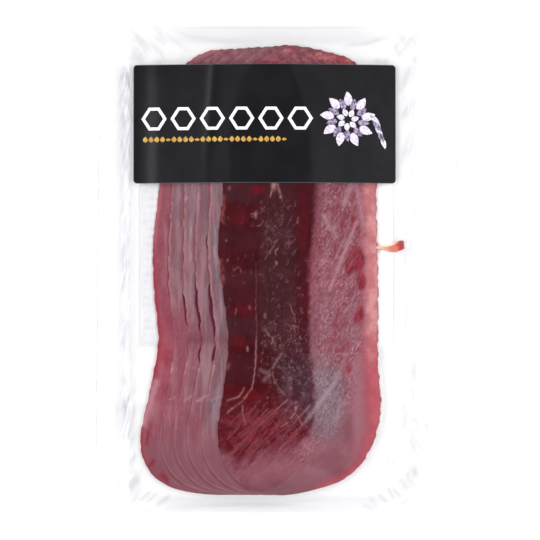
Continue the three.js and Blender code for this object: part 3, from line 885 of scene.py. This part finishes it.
def make_front_label(form):
    left, right, foot, head, corner = FRONT_LABEL.values()
    corner_rows = corner * (1 - np.cos(np.linspace(0, math.pi / 2, 9)))
    straight = np.linspace(foot + corner, head - corner, 40)[1:-1]
    rows = np.concatenate([foot + corner_rows, straight, head - corner_rows[::-1]])
    from_end = np.minimum(rows - foot, head - rows)
    inset = corner - np.sqrt(np.clip(corner**2 - np.clip(corner - from_end, 0, corner) ** 2, 0, None))
    shares = ((0, 0.0033, 4), (0.006, 0.994, 180), (0.9967, 1, 4))
    share = np.concatenate([np.linspace(*part) for part in shares])
    x = mix((left + inset)[:, None], (right - inset)[:, None], share)
    y = np.repeat(rows[:, None], share.size, 1)
    low = form.at(x, y)
    piece = shell("label_front", x, y, low, low + LABEL_THICKNESS, 50)
    from_side, from_end = np.minimum(x - left, right - x), np.minimum(y - foot, head - y)
    rounded = corner - np.hypot(corner - from_side, corner - from_end)
    in_corner = np.maximum(from_side, from_end) < corner
    to_edge = np.where(in_corner, rounded, np.minimum(from_side, from_end))
    add_values(piece, cut=smooth(to_edge, LABEL_CUT * 1.3, LABEL_CUT * 0.6))
    return piece


def ink_layer(form, x, y, top, *borders):
    """A closed layer of ink on the label, from the faces of its top and the vertices along its borders."""
    low = form.at(x, y) + LABEL_THICKNESS + PRINT_LIFT
    vertices = np.vstack([np.stack([x, y, z], -1).reshape(-1, 3) for z in (low + PRINT_THICKNESS, low)])
    sides = []
    for ring in borders:
        following = np.roll(ring, -1)
        sides.append(np.stack([following, ring, ring + x.size, following + x.size], -1))
    return vertices, np.vstack([top, top[:, ::-1] + x.size, *sides])


def ring_patch(form, outer, inner, steps=8):
    """Ink between two closed outlines with the same number of corners."""
    corners = np.array([outer, inner], float)
    parts = [mix(corners, np.roll(corners, -1, 1), t) for t in np.arange(steps) / steps]
    x, y = np.stack(parts, 2).reshape(-1, 2).T
    i = np.arange(x.size // 2)
    j = np.roll(i, -1)
    top = np.stack([i, j, j + i.size, i + i.size], -1)
    return ink_layer(form, x, y, top, i, i[::-1] + i.size)


def leaf_patch(form, root, angle, length, width, bend=0, rows=10):
    """Ink in the shape of a pointed leaf."""
    t = np.linspace(0.02, 0.98, rows)
    half = width * np.sin(math.pi * t**0.8) ** 0.9 / 2
    turn = angle + bend * (t - 0.5)
    cx = root[0] + np.cumsum(np.cos(turn)) * length / rows
    cy = root[1] + np.cumsum(np.sin(turn)) * length / rows
    across = half[:, None] * np.linspace(-1, 1, 5)
    x = cx[:, None] - np.sin(turn)[:, None] * across
    y = cy[:, None] + np.cos(turn)[:, None] * across
    index = np.arange(x.size).reshape(x.shape)
    border = np.concatenate([index[:-1, 0], index[-1, :-1], index[:0:-1, -1], index[0, :0:-1]])
    return ink_layer(form, x, y, quads(index)[:, ::-1], border)


def join_patches(name, patches):
    vertices, faces, start = [], [], 0
    for points, corners in patches:
        vertices.append(points)
        faces.append(corners + start)
        start += len(points)
    return make_mesh(name, np.vstack(vertices), np.vstack(faces).tolist(), 30)


def make_print(form):
    """A row of outlined hexagons, a row of small gold leaves under it, and a sprig of leaves."""
    count, left, right, foot, head, line_width, gap = HEXAGONS.values()
    pitch = (right - left + gap) / count
    half_x, half_y, middle = (pitch - gap) / 2, (head - foot) / 2, (head + foot) / 2
    waist = 0.42
    lean = math.hypot(half_y, half_x * (1 - waist)) / half_y
    inner_x, inner_y = half_x - line_width * lean, half_y - line_width
    inner_waist = (waist * half_x - line_width * (lean - (1 - waist) * half_x / half_y)) / inner_x
    corners = np.array([(1, 0), (1, 1), (-1, 1), (-1, 0), (-1, -1), (1, -1)])
    hexagons = []
    for size_x, size_y, narrowed in ((half_x, half_y, waist), (inner_x, inner_y, inner_waist)):
        hexagons.append(corners * (size_x, size_y) * np.where(corners[:, 1:], (narrowed, 1), 1))
    rings = []
    for k in range(count):
        centre = (left + half_x + k * pitch, middle)
        rings.append(ring_patch(form, *(hexagon + centre for hexagon in hexagons)))

    count, left, right, foot, head = GOLD_ROW.values()
    small_leaves = []
    for k in range(count):
        tall = (head - foot) * (0.4 if k % 5 == 4 else 0.8)
        root = (left + (k + 0.5) * (right - left) / count, (head + foot - tall) / 2)
        small_leaves.append(leaf_patch(form, root, math.pi / 2, tall, 2.1, rows=6))

    x, y, size = SPRIG.values()
    white, lilac = leaves = [], []
    for ring, (count, length, width, start) in enumerate(SPRIG_RINGS):
        for k in range(count):
            angle = math.tau * (k + 0.5 * (ring % 2)) / count + 0.2
            root = (x + start * size * math.cos(angle), y + start * size * math.sin(angle))
            leaves[ring % 2].append(leaf_patch(form, root, angle, length * size, width * size, bend=0.5))
    for k in range(5):
        root = (x + 0.74 * size + 1.3 * k, y + 0.2 * size - 2.4 * k)
        leaves[k % 2].append(leaf_patch(form, root, -0.78 - 0.1 * k, 7.4 - 0.5 * k, 2, bend=-0.5))
    named = {"print_hexagons": rings, "print_gold_row": small_leaves, "print_leaves": white,
             "print_leaves_shaded": lilac}
    return [join_patches(name, patches) for name, patches in named.items()]


# The strand and the film


def make_strand():
    """The strand of fat and meat that sticks out on the right, flattened between the films."""
    knots = np.array(STRAND)
    t = np.linspace(0, 1, 34)
    places = np.linspace(0, 1, len(knots))
    cx, cy, width = (np.interp(t, places, values) for values in knots.T)
    for _ in range(3):
        width[1:-1] = (width[:-2] + 2 * width[1:-1] + width[2:]) / 4
    cy = cy + 0.12 * np.sin(9 * t)
    width = width * (1 + 0.05 * np.sin(31 * t) + 0.04 * np.sin(57 * t + 1))
    around = np.linspace(0, math.tau, 24, endpoint=False)
    torn = 0.45 * np.sin(3 * around + 0.8) + 0.4 * np.sin(5 * around + 2)
    x = cx[:, None] + smooth(t, 0.7, 1)[:, None] * torn
    y = cy[:, None] + 0.5 * width[:, None] * np.cos(around)
    high = 0.75 + 0.17 * width[:, None]
    z = STACK_BASE + 0.5 * high * (1 + np.sin(around) * (0.9 + 0.1 * np.sin(3 * around)))
    index = np.arange(x.size).reshape(x.shape)
    faces = [*quads(np.hstack([index, index[:, :1]])).tolist(), index[0, ::-1].tolist(), index[-1].tolist()]
    made = make_mesh("fat_strand", np.stack([x, y, z], -1).reshape(-1, 3), faces, 60)
    add_values(made, reach=np.repeat(t, around.size), side=np.tile(np.cos(around), t.size))
    return made


def grid_lines(*parts):
    """Places of grid lines, from the start, the end and the step of each part."""
    return np.append(np.concatenate([np.arange(*part) for part in parts]), parts[-1][1])


def make_film():
    """The closed pocket of film; its grid is close where it is wrinkled or stepped."""
    across = grid_lines(
        (0, 0.006, 0.0015), (0.006, 0.06, 0.0108), (0.06, 0.135, 0.0032), (0.135, 0.37, 0.0052),
        (0.37, 0.57, 0.011), (0.57, 0.79, 0.0066), (0.79, 0.94, 0.0036), (0.94, 0.994, 0.0108),
        (0.994, 1, 0.0015),
    )
    along = grid_lines(
        (-110, -103, 1.75), (-103, -86, 0.55), (-86, 88, 1.15), (88, 104, 0.55), (104, 110, 1.5)
    )
    half = mix(PACK_FOOT_WIDTH, PACK_HEAD_WIDTH, along / PACK_LENGTH + 0.5)[:, None] / 2
    x = (2 * across - 1) * half
    y = np.repeat(along[:, None], across.size, 1)
    folds, shade = wrinkles(x, y)
    up_wall = wall_share(x, y)
    share = smooth(up_wall, 0, 1)
    left, right, foot, head = BACK_LABEL.values()
    over_label = window(x, left - 2, left - 0.4, right + 0.4, right + 2)
    over_label = over_label * window(y, foot - 2, foot - 0.4, head + 0.4, head + 2)
    floor = mix(0.03, 0.3, over_label)
    bottom = mix(floor, pocket_top(x, y) - FILM_APART, share)
    bottom = np.maximum(bottom + folds * 0.7 * share, floor)
    top = np.maximum(film_top(x, y) + folds, bottom + FILM_APART * 0.5)
    film = shell("film", x, y, bottom, top, 80)
    # A faint painted shade over the pocket beside the meat
    pocket_shade = POCKET_SHADE * smooth(up_wall, 1.3, 0.9) * smooth(fields.over_meat(x, y), -0.2, -1.4)
    # Painted shade along the film's cut edge on its long sides
    edge = smooth(half - np.abs(x), 0.7, 0.15) * window(y, -80, -70, 60, 80) * np.where(x < 0, 0.8, 0.5)
    # The folds' shade, the walls' shade and the edge are painted into the film as shade, stored as its fold
    # value
    painted = FOLD_SHADE * np.clip(shade + wall_shade(x, y) + edge, 0, 1) + pocket_shade
    add_values(film, fold=[painted, np.zeros(painted.shape)])
    return film


# Materials


class Value:
    """An output of a shader node, with arithmetic that adds math nodes."""

    def __init__(self, nodes, socket):
        self.nodes, self.socket = nodes, socket

    def __add__(self, other):
        return self.nodes.math("ADD", self, other)

    def __radd__(self, other):
        return self.nodes.math("ADD", other, self)

    def __sub__(self, other):
        return self.nodes.math("SUBTRACT", self, other)

    def __mul__(self, other):
        return self.nodes.math("MULTIPLY", self, other)

    def __abs__(self):
        return self.nodes.math("ABSOLUTE", self)


def linear(colour):
    """Linear colour of an sRGB colour given from 0 to 255."""
    shares = [c / 255 for c in colour]
    return (*(s / 12.92 if s <= 0.04045 else ((s + 0.055) / 1.055) ** 2.4 for s in shares), 1)


class Nodes:
    """Short ways to add and link shader nodes in one material; colours are sRGB from 0 to 255."""

    def __init__(self, name):
        self.material = bpy.data.materials.new(name)
        self.material.use_nodes = True
        self.tree = self.material.node_tree
        self.tree.nodes.clear()
        self.output = self.tree.nodes.new("ShaderNodeOutputMaterial")

    def add(self, kind, inputs, output=0, **settings):
        """One output of a new node."""
        node = self.tree.nodes.new("ShaderNode" + kind)
        for key, value in settings.items():
            setattr(node, key, value)
        for key, value in inputs.items():
            if isinstance(value, Value):
                self.tree.links.new(value.socket, node.inputs[key])
            else:
                node.inputs[key].default_value = value
        return Value(self, node.outputs[output])

    def math(self, operation, *values, clamp=False):
        return self.add("Math", dict(enumerate(values)), operation=operation, use_clamp=clamp)

    def value(self, name):
        """A value stored on the vertices."""
        return self.add("Attribute", {}, "Fac", attribute_name=name)

    def place(self, along=1, across=1, angle=0):
        """Object coordinates in millimetres, stretched along and across a direction in degrees from X."""
        where = self.add("TexCoord", {}, "Object")
        scale, turn = (along * MM, across * MM, MM), (0, 0, math.radians(angle))
        return self.add("Mapping", {"Vector": where, "Scale": scale, "Rotation": turn}, vector_type="TEXTURE")

    def part(self, where, axis):
        """One coordinate of a place."""
        return self.add("SeparateXYZ", {0: where}, "XYZ".index(axis))

    def noise(self, where, period, detail, distortion=0):
        inputs = {"Vector": where, "Scale": 1 / period, "Detail": detail, "Distortion": distortion}
        return self.add("TexNoise", inputs, "Fac")

    def step(self, value, low, high):
        """Smooth step of a value from low to high."""
        return self.add("MapRange", {0: value, 1: low, 2: high}, interpolation_type="SMOOTHSTEP")

    def mixed(self, share, a, b):
        return self.add("Mix", {0: share, 2: a, 3: b}, data_type="FLOAT")

    def blend(self, share, a, b):
        a, b = (linear(colour) if isinstance(colour, tuple) else colour for colour in (a, b))
        return self.add("Mix", {0: share, 6: a, 7: b}, 2, data_type="RGBA")

    def paint(self, tone, *layers):
        """The tone with layers over it, each a share and a colour."""
        for share, colour in layers:
            tone = self.blend(share, tone, colour)
        return tone

    def shade(self, tone, share):
        """The colour times a share."""
        inputs = {0: 1, 6: tone, 7: (share, share, share, 1)}
        return self.add("Mix", inputs, 2, data_type="RGBA", blend_type="MULTIPLY")

    def bump(self, height, strength, distance):
        return self.add("Bump", {"Height": height, "Strength": strength, "Distance": distance * MM})

    def finish(self, shader):
        self.tree.links.new(shader.socket, self.output.inputs["Surface"])
        return self.material

    def surface(self, tone, roughness, specular, **others):
        """The finished material, with one shader."""
        inputs = {"Base Color": tone, "Roughness": roughness, "Specular IOR Level": specular, **others}
        return self.finish(self.add("BsdfPrincipled", inputs))


class MeatNodes(Nodes):
    """The noise and the marks that both materials of the meat share."""

    def __init__(self, name):
        super().__init__(name)
        self.here = self.place()
        self.slanted = self.place(2.2, 0.85, 61)
        self.where_y = self.part(self.here, "Y")
        self.foot = self.step(self.where_y, -50, -62)
        self.blotch = self.noise(self.here, 9, 4)
        self.patchy = self.step(self.noise(self.here, 3.6, 4, 0.6), 0.42, 0.64)
        self.specks = self.noise(self.place(1.5, 0.9, 61), 0.95, 3, 0.5)
        self.dashed = self.step(self.noise(self.place(1, 1.6), 1.5, 2), 0.36, 0.56)

    def torn(self, name, coarse, small=0.6):
        """A stored value with its edges broken up by slanted noise and the specks."""
        value = self.value(name)
        along_cut = self.noise(self.slanted, 2.6, 4)
        along_cut = self.mixed(self.foot, along_cut, self.noise(self.place(5, 0.9, 44), 1.6, 3))
        edge = value + (along_cut - 0.5) * 1.5 * coarse + (self.specks - 0.5) * 1.5 * small
        return self.step(edge, 0.1, 0.9) * self.step(value, 0, 0.15)

    def marked(self, tone, margin, edge, streak, veins, dashed, rim, gap_shade):
        """The finished material, with its pale margin, streaks, veins and rim over the tone, and the gap
        colour, a painted shadow.
        """
        grain = self.noise(self.here, 1, 3)
        lively = 0.3 + grain * 0.8
        tone = self.paint(
            tone,
            (margin * (0.62 + grain * 0.5), edge),
            (self.math("MULTIPLY", self.value("line"), lively, clamp=True), streak),
            *veins,
            (self.value("rim") * (0.2 + dashed * 0.8), rim),
            (self.value("gap"), gap_shade),
        )
        return self.surface(self.shade(tone, 0.91), 0.6, 0.025, Normal=self.bump(grain, 0.25, 0.2))


def top_tone(n, curls):
    """Deep red meat with olive and ashy places and pale flecks, crossed by mauve bands of painted reflection.
    """
    clusters = n.step(n.noise(n.here, 5, 2), 0.36, 0.58)
    fleck = n.value("fleck")
    return n.paint(
        n.blend(n.step(n.blotch, 0.35, 0.65), (56, 9, 14), (68, 10, 16)),
        (n.patchy * 0.4, (78, 16, 23)),
        (n.value("olive") * (0.5 + n.blotch * 0.6), n.blend(n.patchy, (58, 27, 29), (72, 36, 38))),
        (n.value("band_sheen") * 0.6, (68, 30, 38)),
        (n.step(n.where_y, -44, -64) * 0.75, n.blend(n.patchy, (92, 20, 31), (116, 36, 49))),
        (n.torn("red", 0.5, 0.7) * 0.72, (104, 13, 23)),
        (n.value("ashy") * 0.7, n.blend(n.patchy, (62, 42, 52), (92, 68, 78))),
        (fleck * curls * clusters * 0.55, (146, 108, 118)),
        (n.step(n.specks, 0.52, 0.72) * (fleck * 0.2 + n.foot * 0.16), (150, 100, 108)),
    )


def top_haze_and_sheen(n, curls, brushed):
    """The sheen over the sloping side, partly a pale dry bloom and partly a painted reflection of the lights
    off the film: soft mauve, and where it is rough, woolly with pale curls and dark specks.
    """
    ashy, rough, blotch = n.value("ashy"), n.value("rough"), n.step(n.blotch, 0.38, 0.62)
    calm = n.blend(n.step(n.where_y, -30, -44), (166, 106, 119), (154, 102, 113))
    soft = n.paint(
        n.blend(blotch, (124, 60, 71), (136, 77, 87)),
        (n.step(n.where_y, -6, 26) * 0.8, (118, 60, 70)),
        (n.step(n.where_y, -2, -20) * 0.55, (128, 84, 96)),
        (n.foot, n.blend(blotch, (126, 73, 85), (140, 87, 98))),
        (n.value("calm") * n.step(n.where_y, -84, -70) * 0.85, calm),
        (n.step(n.where_y, -84, -91) * 0.5, (110, 60, 74)),
        (ashy * 0.8, (124, 101, 110)),
    )
    dark, pale = n.blend(ashy, (108, 34, 48), (76, 52, 64)), n.blend(ashy, (184, 136, 148), (158, 136, 145))
    redder = n.step(n.noise(n.slanted, 5.5, 4), 0.46, 0.62)
    worm = abs(n.noise(n.slanted, 2.3, 3, 1) - 0.5)
    gathered = 0.18 + n.step(n.noise(n.here, 4.2, 3), 0.4, 0.6) * 0.65
    paler = n.math("MAXIMUM", n.step(n.specks, 0.53, 0.7) * gathered, n.step(worm, 0.06, 0) * 0.34)
    return n.paint(
        soft,
        (redder * rough * 0.72, n.blend(ashy, (126, 48, 62), (104, 78, 90))),
        (n.step(n.specks, 0.5, 0.3) * n.math("ADD", 0.2, rough, clamp=True) * 0.42, dark),
        (paler * n.math("ADD", 0.15, rough, clamp=True), pale),
        (brushed * rough * gathered * 0.5, pale),
        (ashy * n.step(n.specks, 0.49, 0.33) * 0.2, (86, 58, 72)),
        (ashy * curls * 0.4, (178, 160, 170)),
    )


def top_meat_material():
    n = MeatNodes("meat_top")
    ashy, ruddy, margin = n.value("ashy"), n.value("ruddy"), n.value("margin")
    curls = n.step(n.noise(n.here, 1.5, 3, 1.6), 0.53, 0.68)
    brushed = n.step(n.noise(n.place(9, 0.8, 61), 1.1, 2), 0.54, 0.74)
    mottled = n.step(n.noise(n.here, 2.2, 4, 0.8), 0.4, 0.66)
    crowned = n.blend(mottled, (118, 50, 60), (142, 84, 92))
    bright = n.blend(mottled, (160, 70, 76), (196, 120, 118))
    crimson = n.blend(n.patchy, (144, 30, 48), (104, 24, 40))
    tone = n.paint(
        top_tone(n, curls),
        (n.step(n.value("haze_and_sheen"), 0.02, 0.4) * 0.5, (98, 38, 54)),
        (n.torn("haze_and_sheen", 0.5, n.mixed(n.foot, 0.7, 0.3)), top_haze_and_sheen(n, curls, brushed)),
        (n.torn("patches", 0.8, 0.8) * n.mixed(brushed, 0.92, 0.5), crimson),
        (n.step(n.where_y, 82, 88) * 0.85, n.blend(n.value("bright"), crowned, bright)),
    )
    uneven = n.step(n.noise(n.here, 5, 3), 0.38, 0.62)
    edge = n.paint(
        n.blend(uneven, (192, 115, 119), (212, 147, 146)),
        (ruddy, n.blend(uneven, (174, 76, 87), (183, 90, 100))),
        (n.step(margin, 1, 0.6), n.blend(ruddy, (180, 110, 123), (162, 72, 86))),
    )
    streak = n.paint(n.blend(n.foot, (180, 134, 146), (160, 92, 104)), (ashy, (170, 150, 162)))
    spaced = n.step(n.noise(n.here, 1.9, 2), 0.3, 0.6)
    vein = (n.value("vein") * (0.35 + spaced * 0.45), (196, 142, 142))
    margin = n.mixed(0.55, n.torn("margin", 0.5), margin)
    return n.marked(tone, margin, edge, streak, [vein], n.dashed, (164, 84, 82), (132, 80, 100))


def strip_meat_material():
    n = MeatNodes("meat")
    drawn = n.noise(n.place(1.7, 11), 1.5, 3)
    # Grey over the strips: a painted reflection of the lights off the film over the tilted steps, streaked
    # along Y
    grey = n.blend(n.step(drawn, 0.38, 0.62), (109, 86, 94), (131, 112, 119))
    grey = n.paint(grey, (n.step(n.noise(n.place(2, 7), 2.2, 3), 0.5, 0.66) * 0.45, (142, 88, 100)))
    tone = n.paint(
        n.blend(n.step(n.blotch, 0.35, 0.65), (138, 64, 78), (152, 78, 92)),
        (n.math("MULTIPLY", n.value("haze_and_sheen"), 0.7 + n.blotch * 0.4, clamp=True), grey),
        # pale streaks: painted highlights of the film over the steps
        (n.step(drawn, 0.5, 0.7) * 0.3, (168, 122, 132)),
        (n.step(n.specks, 0.52, 0.74) * 0.25, (176, 126, 136)),
        (n.step(n.where_y, -62, -80) * 0.8, n.blend(n.blotch, (114, 68, 80), (134, 84, 95))),
        (n.step(n.where_y, 80, 87) * 0.8, n.blend(n.patchy, (118, 64, 74), (144, 88, 96))),
    )
    edge = n.blend(n.value("ruddy"), (182, 104, 108), (156, 50, 64))
    rim = n.blend(n.step(n.where_y, -46, -60), (192, 134, 132), (176, 126, 136))
    dashed = n.math("MAXIMUM", n.dashed, n.foot * 0.6)
    return n.marked(tone, n.value("margin"), edge, (192, 148, 156), [], dashed, rim, (92, 26, 44))


def film_material():
    n = Nodes("clear_film")
    here = n.place()
    bump = n.bump(n.noise(here, 1.4, 3), 0.12, 0.4)
    clear = n.add("BsdfTransparent", {"Color": (1, 1, 1, 1)})
    gloss = n.add("BsdfGlossy", {"Color": (1, 1, 1, 1), "Roughness": 0.16, "Normal": bump})
    facing = n.add("LayerWeight", {"Blend": 0.5, "Normal": bump}, "Facing")
    reflected = 0.024 + n.math("POWER", facing, 5) * 0.9
    # A lit grey sheet, mixed into the clear film by the stored painted shade of its folds, walls and edges,
    # broken into streaks
    shade_sheet = n.add("BsdfDiffuse", {"Color": linear((124, 124, 146))})
    streaked = n.step(n.noise(n.place(10, 1.3, 78), 1.4, 3, 0.6), 0.34, 0.66)
    streaked = n.mixed(n.step(abs(n.part(here, "Y")), 84, 92), streaked, 0.5)
    fold = n.math("MULTIPLY", n.value("fold"), 0.65 + streaked * 0.7, clamp=True)
    seen = n.add("MixShader", {0: fold, 1: clear, 2: shade_sheet})
    return n.finish(n.add("MixShader", {0: reflected, 1: seen, 2: gloss}))


def label_material():
    n = Nodes("label_satin")
    here = n.place()
    mist = n.noise(here, 12, 3)
    tone = n.paint(
        n.blend(n.step(mist, 0.3, 0.7), (14, 14, 17), (22, 22, 26)),
        (n.noise(here, 0.5, 2) * 0.2, (44, 43, 48)),
        (n.value("cut"), (88, 87, 92)),
    )
    return n.surface(tone, 0.3, 0.42, Normal=n.bump(mist, 0.3, 0.6))


def ink_material(name, colour, shaded):
    n = Nodes(name)
    return n.surface(n.blend(n.step(n.noise(n.place(), 0.9, 3), 0.35, 0.65), colour, shaded), 0.4, 0.3)


def paper_material():
    """White coated paper with faint rows of grey bars where its small print is; its left part is greyer, a
    painted shade.
    """
    n = Nodes("label_paper")
    here = n.place()
    where_x, where_y = n.part(here, "X"), n.part(here, "Y")
    in_row = n.step(abs(n.math("FRACT", n.math("DIVIDE", where_y, 3.2)) - 0.5), 0.24, 0.16)
    dash = n.step(n.noise(n.place(2, 3.2), 1.6, 1), 0.44, 0.5)
    inside = n.step(where_x, -57, -56.4) * n.step(where_y, 66, 64) * n.step(where_x, 20, -20)
    tone = n.paint(
        n.blend(n.noise(n.place(1, 4), 2, 4), (220, 219, 222), (238, 237, 239)),
        # whiter towards the right, so the greyer left part is painted shade
        (n.step(where_x, -40, 30), (254, 254, 254)),
        (in_row * dash * inside * 0.16, (176, 176, 186)),
    )
    return n.surface(tone, 0.55, 0.3)


def fat_material():
    n = Nodes("fat")
    grain = n.noise(n.place(), 0.8, 3)
    reach, side = n.value("reach"), n.value("side")
    wavy = reach + (n.noise(n.place(1.6, 0.8), 1.1, 3, 0.8) - 0.5) * 0.55
    tone = n.paint(
        n.blend(grain, (244, 196, 170), (228, 172, 140)),
        (n.step(wavy, 0.25, 0.5), n.blend(grain, (226, 134, 108), (204, 104, 80))),
        (n.step(wavy, 0.62, 0.82), n.blend(grain, (190, 66, 70), (150, 42, 54))),
        (n.step(wavy, 0.92, 1.02), (140, 66, 88)),
        (n.step(side, 0.45, 0.85) * n.step(reach, 0.8, 0.55), (250, 226, 196)),
        (n.step(side, -0.7, -0.95) * 0.7, (170, 90, 100)),
    )
    return n.surface(tone, 0.45, 0.2)


# Stage, camera and lights


def make_floor():
    size = 3
    mesh = bpy.data.meshes.new("floor")
    corners = [(-size, -size, 0), (size, -size, 0), (size, size, 0), (-size, size, 0)]
    mesh.from_pydata(corners, [], [(0, 1, 2, 3)])
    floor = link_object("floor", mesh)
    clearance = 0.0002
    floor.location.z = -clearance
    glow = {"Emission Color": (1, 1, 1, 1), "Emission Strength": 0.3}
    mesh.materials.append(Nodes("pale_floor").surface((0.62, 0.62, 0.624, 1), 1, 0, **glow))


def make_camera():
    distance = 1.5
    tilt = math.radians(1.5)
    centre = Vector((0, 0, 0.004))
    seen = PHOTO_PIXELS * MM_PER_PIXEL * MM
    camera = link_object("camera", bpy.data.cameras.new("camera"))
    camera.data.sensor_width = 36
    camera.data.lens = camera.data.sensor_width / seen * distance
    camera.location = centre + Vector((0, -math.sin(tilt), math.cos(tilt))) * distance
    camera.rotation_euler = (tilt, 0, 0)
    camera.data.shift_x = 0.5 - PACK_CENTRE_PIXEL[0] / PHOTO_PIXELS
    camera.data.shift_y = PACK_CENTRE_PIXEL[1] / PHOTO_PIXELS - 0.5
    bpy.context.scene.camera = camera


def area_light(name, place, size, power):
    """A soft light that shines on the pack's middle."""
    light = bpy.data.lights.new(name, "AREA")
    light.shape = "RECTANGLE"
    light.size, light.size_y = size
    light.energy = power
    made = link_object(name, light)
    made.location = place
    made.rotation_euler = (-Vector(place)).to_track_quat("-Z", "Y").to_euler()


def make_light():
    """Two long soft lights in a white tent, which is dark straight above, where the camera looks in."""
    for name, side in (("left_light", -1), ("right_light", 1)):
        area_light(name, (side * LIGHT["x"], 0, LIGHT["z"]), LIGHT["size"], LIGHT["power"])
    world = bpy.data.worlds.new("studio")
    world.use_nodes = True
    tree = world.node_tree
    background = tree.nodes["Background"]
    background.inputs["Color"].default_value = (1, 1, 1, 1)
    where = tree.nodes.new("ShaderNodeTexCoord")
    parts = tree.nodes.new("ShaderNodeSeparateXYZ")
    tent = tree.nodes.new("ShaderNodeMapRange")
    tent.interpolation_type = "SMOOTHSTEP"
    limits = [math.cos(math.radians(TENT[key])) for key in ("opening", "white_from")]
    limits += [TENT["dark"], TENT["white"]]
    for key, value in zip(("From Min", "From Max", "To Min", "To Max"), limits):
        tent.inputs[key].default_value = value
    tree.links.new(where.outputs["Generated"], parts.inputs[0])
    tree.links.new(parts.outputs[2], tent.inputs["Value"])
    tree.links.new(tent.outputs["Result"], background.inputs["Strength"])
    bpy.context.scene.world = world
    bpy.context.scene.view_settings.view_transform = "Standard"


def main():
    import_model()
    pieces = []
    for level in range(SLICES):
        piece = make_slice(level)
        piece.data.materials.append(top_meat_material() if level == SLICES - 1 else strip_meat_material())
        pieces.append(piece)
    strand = make_strand()
    strand.data.materials.append(fat_material())
    film = make_film()
    film.data.materials.append(film_material())
    pieces += [strand, film]
    for piece in pieces:
        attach(piece, "root")
        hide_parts("sealed_pack")

    form = LabelForm()
    label = make_front_label(form)
    label.data.materials.append(label_material())
    white, gold, leaves, shaded = make_print(form)
    white.data.materials.append(ink_material("white_ink", (250, 250, 252), (236, 236, 242)))
    gold.data.materials.append(ink_material("gold_ink", (206, 166, 88), (170, 130, 60)))
    leaves.data.materials.append(ink_material("pale_ink", (240, 236, 246), (196, 182, 208)))
    shaded.data.materials.append(ink_material("lilac_ink", (176, 160, 190), (96, 80, 110)))
    for piece in (label, white, gold, leaves, shaded):
        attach(piece, "root")
        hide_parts("front_label")
    back_label = bpy.data.objects["back_label"]
    back_label.data.materials.clear()
    back_label.data.materials.append(paper_material())

    make_floor()
    make_camera()
    make_light()


main()
